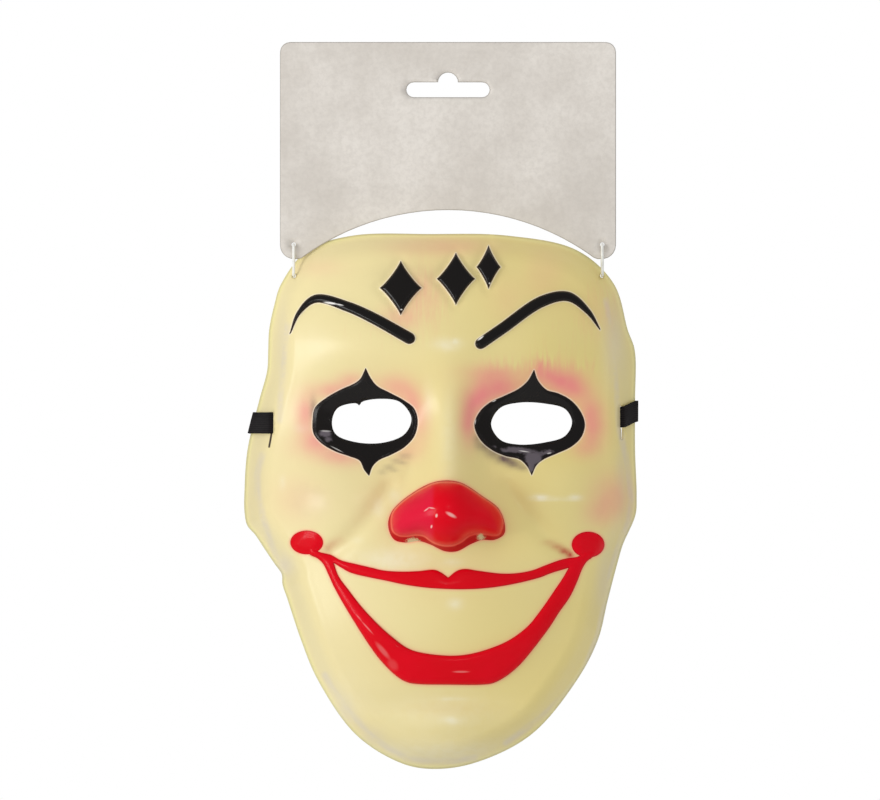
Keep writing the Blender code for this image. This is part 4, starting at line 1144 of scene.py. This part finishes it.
def srgb(red, green, blue):
    """A colour of 0 to 255 as the shader's linear one."""
    made = [value / 255 for value in (red, green, blue)]
    return (*(v / 12.92 if v <= 0.04045 else ((v + 0.055) / 1.055) ** 2.4 for v in made), 1)


def paint_cream(n):
    """Cream plastic, paler on the left as painted sheen and yellower on the right, with blush, smudges,
    painted shade, highlights and reflections, and the haze round the paint.
    """
    broad = n.noise(14, 2)
    ragged = n.math("SUBTRACT", n.noise(2600, 2), 0.5)
    across = n.new("ShaderNodeSeparateXYZ", {0: n.place()}).outputs["X"]
    # Painted sheen: the cream is paler and less yellow on the left, where the light falls
    n.between(n.span(across, -0.075, 0.06), (244, 228, 172), (240, 221, 142))
    n.tint(n.span(broad, 0.35, 0.65, 0.0, 0.35), 246, 232, 172)
    strokes = n.noise(1.0, 3, 0.6, n.scaled(n.place(), (620, 200, 60)))
    blush_and_shade = n.times(n.attribute("blush_and_shade"), n.speckled(n.noise(60, 3), 0.8, 1.2))
    brushed = n.times(n.math("SUBTRACT", strokes, 0.5), n.attribute("brushed"))
    strip = n.attribute("strip")
    n.tint(n.span(strip, 0.4, 2.4, 0.7, 0.0), 250, 240, 166)
    # Painted highlights along pale lines on the rim, and painted greyish reflections near it
    patchy = n.span(n.noise(90, 3), 0.3, 0.6, 0.4, 1.0)
    line = n.times(n.span(n.attribute("pale"), 0.1, 2.4, 0.55, 0.0), patchy)
    rim_reflection = n.math("MAXIMUM", line, n.times(n.attribute("rim_reflection"), 0.8))
    n.tint(rim_reflection, 226, 214, 196)
    # Painted highlights on the plastic
    painted_highlight = n.times(n.attribute("painted_highlight"), n.span(n.noise(240, 2), 0.3, 0.6, 0.6, 1.0), clamp=True)
    n.tint(painted_highlight, 255, 250, 226)
    # Rosy paint and dry brushing; part of the blush is painted shade
    n.tint(n.math("ADD", blush_and_shade, brushed, clamp=True), 250, 120, 142)
    # Painted shade in the creases at the corners of the mouth
    n.tint(n.times(n.attribute("crease_shade"), 1.0, clamp=True), 196, 60, 44)
    # Grey smudges of paint, with a spot of painted shade on the left cheek
    soft = n.span(n.noise(160, 3, 0.5), 0.25, 0.75, 0.6, 1.0)
    smudge_and_shade = n.times(n.attribute("smudge_and_shade"), soft, clamp=True)
    n.tint(smudge_and_shade, 112, 88, 90)
    red = n.math("ADD", n.attribute("red"), n.times(ragged, 0.12))
    wide_haze = n.times(n.span(red, -1.8, -0.1), 0.22)
    haze = n.math("ADD", wide_haze, n.times(n.span(red, -0.6, -0.1), 0.45))
    n.tint(haze, 255, 150, 128)
    black = n.math("ADD", n.attribute("black"), n.times(ragged, 0.12))
    n.tint(n.times(n.span(black, -0.8, -0.25), 0.60), 255, 244, 222)
    n.tint(n.span(black, -0.22, -0.05), 58, 34, 26)
    # Painted shade in the closed slit line below the left slit
    n.tint(n.span(n.attribute("groove"), 0.25, 0.6, 1.0, 0.0), 60, 44, 34)


def moulded(n, fine):
    """The slight waves and grain of formed plastic."""
    return n.bump(fine, 0.00003, 0.5, n.bump(n.noise(260, 2), 0.00012, 0.5))


def cream_material():
    n = Nodes("cream_plastic")
    fine = n.noise(900, 3, 0.6)
    roughness = n.speckled(fine, 0.36, 0.44)
    paint_cream(n)
    return n.finish(roughness, moulded(n, fine),
                    Specular_IOR_Level=0.30, Coat_Weight=0.22, Coat_Roughness=0.22)


def red_material():
    n = Nodes("red_paint")
    fine = n.noise(900, 3, 0.6)
    broad = n.noise(40, 3)
    red = n.attribute("red")
    n.between(n.span(broad, 0.3, 0.7), (232, 0, 28), (224, 0, 22))
    # Painted shade: darker red where the raised paint turns down at its edges
    n.tint(n.span(red, 0.05, 0.5, 0.55, 0.0), 150, 4, 12)
    ridge = n.attribute("ridge")
    # Painted shade on the nose's steep side, between its ridge and the paint's edge
    n.tint(n.span(ridge, -0.6, -0.1, 0.75, 0.0), 180, 2, 16)
    across = n.new("ShaderNodeSeparateXYZ", {0: n.place()}).outputs["X"]
    # Painted reflection: a pinker red on the left of the nose
    left_sheen = n.times(n.span(across, -0.0074, -0.0054, 0.32, 0.0), n.span(ridge, 0.0, 1.5))
    n.tint(n.times(left_sheen, n.span(ridge, 40, 50, 1.0, 0.0)), 228, 48, 92)
    # Painted highlight along the nose's ridge, strongest on the left
    near_ridge = n.span(n.math("ABSOLUTE", ridge), 0.1, 0.5, 1.0, 0.0)
    lit = n.times(n.span(across, -0.004, 0.018, 0.48, 0.12), near_ridge)
    n.tint(lit, 255, 130, 110)
    # Painted highlights on the red paint
    n.glints(RED_GLINTS, 255, 214, 206)
    ragged = n.times(n.math("SUBTRACT", n.noise(2600, 2), 0.5), 1.6)
    bare = n.span(n.math("ADD", n.attribute("chip"), ragged), 0.45, 0.52)
    n.tint(bare, 214, 196, 150)
    return n.finish(n.speckled(fine, 0.28, 0.36), moulded(n, fine),
                    Specular_IOR_Level=0.07, Coat_Weight=0.10, Coat_Roughness=0.12)


def black_material():
    n = Nodes("black_paint")
    fine = n.noise(900, 3, 0.6)
    n.between(n.span(n.attribute("black"), 0.0, 0.4), (58, 34, 26), (22, 19, 18))
    uneven = n.times(n.math("SUBTRACT", n.noise(500, 3), 0.5), 0.5)
    # Painted sheen: paler patches on the black paint, broken by noise
    broken_sheen = n.math("ADD", n.attribute("painted_sheen"), uneven)
    n.tint(n.span(broken_sheen, 0.35, 0.75, 0.0, 0.8), 112, 104, 112)
    # Painted highlights on the black paint
    n.glints(BLACK_GLINTS, 255, 252, 248)
    return n.finish(n.speckled(fine, 0.17, 0.25), moulded(n, fine), Specular_IOR_Level=0.24)


def inner_material():
    n = Nodes("bare_plastic")
    cloudy = n.noise(30, 4)
    n.between(n.span(cloudy, 0.3, 0.7), (228, 214, 170), (238, 226, 186))
    pressed = n.noise(700, 4, 0.6)
    return n.finish(n.speckled(pressed, 0.42, 0.55), n.bump(pressed, 0.00006, 0.6))


def build_strap():
    lines = strap_lines()
    count = len(lines[0])
    points = [tuple(point) for line in lines for point in line]
    faces = [
        (row * count + i, row * count + i + 1, (row + 1) * count + i + 1, (row + 1) * count + i)
        for row in range(len(lines) - 1)
        for i in range(count - 1)
    ]
    strap = mesh_piece("strap_band", points, faces)
    middle = np.array([tuple(point) for point in lines[len(lines) // 2]])
    along = lengths_along(middle) * 1000
    across = np.linspace(-0.5, 0.5, len(lines)) * STRAP_WIDTH * 1000
    put_values(strap, along=np.tile(along, len(lines)), across=np.repeat(across, count))
    thicken(strap, STRAP_THICKNESS, 0)
    strap.data.materials.append(elastic_material())
    hand_over(strap, "elastic_strap")


# The elastic's weave, in millimetres: its ribs along the strap and the picks that cross them
RIB_SPACING = 0.9
PICK_SPACING = 0.6


def elastic_material():
    n = Nodes("black_elastic")
    along, across = n.attribute("along"), n.attribute("across")
    ribs = n.math("SINE", n.times(across, 2 * math.pi / RIB_SPACING))
    waves = n.math("ADD", n.times(along, 2 * math.pi / PICK_SPACING), n.times(ribs, 1.5))
    picks = n.math("SINE", waves)
    weave = n.math("ADD", n.times(ribs, 0.6), n.times(picks, 0.4))
    fluff = n.noise(3000, 3)
    n.between(n.span(weave, -0.8, 0.9), (14, 12, 12), (38, 33, 35))
    n.tint(n.span(fluff, 0.6, 0.85, 0.0, 0.3), 60, 53, 56)
    return n.finish(0.85, n.bump(n.math("ADD", weave, fluff), 0.00012, 0.8), Specular_IOR_Level=0.2)


def build_card():
    outline = evenly(np.array(card_outline()), CARD_STEP, closed=True)
    holes = [np.array(slot_outline()), *(tie_hole_in_card(sign) for sign in (-1, 1))]
    rings = [(inwards(outline, amount), CARD_RING_SPACING) for amount in CARD_RINGS]
    points, faces = flat_layout(outline, holes, [], rings, CARD_LATTICE)
    front = np.column_stack((points[:, 0], np.full(len(points), -CARD_THICKNESS / 2), points[:, 1]))
    card = mesh_piece("card_board", front, faces)
    to_slot = -depth_inside(points, holes[0])
    put_values(card, edge=millimetres(np.minimum(depth_inside(points, outline), to_slot), 0, 10))
    thicken(card, CARD_THICKNESS, -1)
    card.data.materials.append(card_material())
    hand_over(card, "header_card")


def tie_hole_in_card(sign):
    return tie_hole(sign) + np.array((0, TIE_CARD_Z - TIE_MASK_Z))


def card_material():
    n = Nodes("mottled_card")
    cloudy = n.noise(22, 6, 0.62)
    grains = n.noise(420, 5, 0.7)
    scratches = n.noise(1.0, 2, 0.5, n.scaled(n.place(), (40, 40, 900)))
    n.between(n.span(cloudy, 0.32, 0.68), (218, 211, 202), (238, 232, 224))
    n.tint(n.span(grains, 0.35, 0.7, 0.0, 0.35), 202, 195, 186)
    n.tint(n.span(scratches, 0.62, 0.75, 0.0, 0.15), 224, 219, 210)
    edge = n.attribute("edge")
    n.tint(n.span(edge, 0.0, 0.55, 0.75, 0.0), 150, 144, 134)
    return n.finish(n.speckled(grains, 0.55, 0.7), n.bump(grains, 0.00004, 0.5))


def build_tie(name, sign):
    curve = bpy.data.curves.new(name + "_loop", "CURVE")
    curve.dimensions = "3D"
    curve.bevel_depth = TIE_DIAMETER / 2
    curve.bevel_resolution = 4
    route = spline(tie_route(sign), closed=True)
    drawn = curve.splines.new("POLY")
    drawn.points.add(len(route) - 1)
    for point, place in zip(drawn.points, route):
        point.co = (*place, 1)
    drawn.use_cyclic_u = True
    drawn.use_smooth = True
    tie = add_object(name + "_loop", curve)
    tie.data.materials.append(tie_material(name))
    hand_over(tie, name)


def tie_material(name):
    n = Nodes(name + "_plastic")
    cloudy = n.noise(300, 3)
    n.between(n.span(cloudy, 0.3, 0.7), (236, 236, 228), (250, 250, 246))
    return n.finish(n.speckled(cloudy, 0.25, 0.4), n.bump(cloudy, 0.00003, 0.5))


FLOOR_RADIUS = 1.2
FLOOR_Z = -0.42
# The world's strength on the object, and where a surface mirrors it
WORLD_LIGHT = 0.72
WORLD_REFLECTED = 0.32
# Area lights, all aimed at one point: name, place, size, power in watts.
LIGHT_AIM = (0, 0, -0.18)
LIGHTS = (
    ("key", (-1.65, -1.05, -0.45), (0.8, 1.1), 20.5),
    ("low", (-0.4, -0.8, -1.2), (1.0, 0.6), 24),
    ("glint", (-0.15, -1.7, -1.05), (0.14, 0.14), 1.2),
    ("front", (0.06, -2.2, 0.10), (0.22, 0.22), 1.4),
)
# The camera's lens and sensor in millimetres, how far it sees, and the middle and width of its view
LENS = 1000
SENSOR_WIDTH = 36
SIGHT = 50
VIEW_CENTRE = (-0.00344, -0.1408)
VIEW_WIDTH = 0.3784


def build_floor():
    mesh = bpy.data.meshes.new("floor")
    drawn = bmesh.new()
    bmesh.ops.create_circle(drawn, cap_ends=True, segments=96, radius=FLOOR_RADIUS)
    drawn.to_mesh(mesh)
    drawn.free()
    floor = add_object("floor", mesh)
    floor.location = (0, 0, FLOOR_Z)
    n = Nodes("pale_floor")
    cloudy = n.noise(6, 3)
    n.colour = n.mix(n.span(cloudy, 0.3, 0.7), (0.82, 0.82, 0.82, 1), (0.86, 0.86, 0.86, 1))
    mesh.materials.append(n.finish(n.speckled(cloudy, 0.8, 0.9)))


def area_light(name, place, size, power):
    light = bpy.data.lights.new(name, "AREA")
    light.shape = "RECTANGLE"
    light.size, light.size_y = size
    light.energy = power
    made = add_object(name, light)
    made.location = place
    made.rotation_euler = (Vector(LIGHT_AIM) - Vector(place)).to_track_quat("-Z", "Y").to_euler()


def build_world():
    """A white studio: bright behind the object, soft on it, and dimmer where it is only reflected."""
    world = bpy.data.worlds.new("studio")
    world.use_nodes = True
    tree = world.node_tree
    back = tree.nodes["Background"]
    back.inputs["Color"].default_value = (1, 1, 1, 1)
    path = tree.nodes.new("ShaderNodeLightPath")
    strength = None
    for ray, amount in (("Is Glossy Ray", WORLD_REFLECTED), ("Is Camera Ray", 1.0)):
        mixed = tree.nodes.new("ShaderNodeMix")
        mixed.inputs["A"].default_value = WORLD_LIGHT
        mixed.inputs["B"].default_value = amount
        tree.links.new(path.outputs[ray], mixed.inputs["Factor"])
        if strength:
            tree.links.new(strength, mixed.inputs["A"])
        strength = mixed.outputs["Result"]
    tree.links.new(strength, back.inputs["Strength"])
    bpy.context.scene.world = world


def build_camera():
    camera = bpy.data.cameras.new("camera")
    camera.lens = LENS
    camera.sensor_width = SENSOR_WIDTH
    camera.clip_end = SIGHT
    made = add_object("camera", camera)
    made.location = (VIEW_CENTRE[0], -VIEW_WIDTH * LENS / SENSOR_WIDTH, VIEW_CENTRE[1])
    made.rotation_euler = (math.pi / 2, 0, 0)
    bpy.context.scene.camera = made


def main():
    bpy.context.scene.view_settings.view_transform = "Standard"
    build_mask()
    build_strap()
    build_card()
    build_tie("tie_left", -1)
    build_tie("tie_right", 1)
    build_floor()
    for light in LIGHTS:
        area_light(*light)
    build_world()
    build_camera()


main()
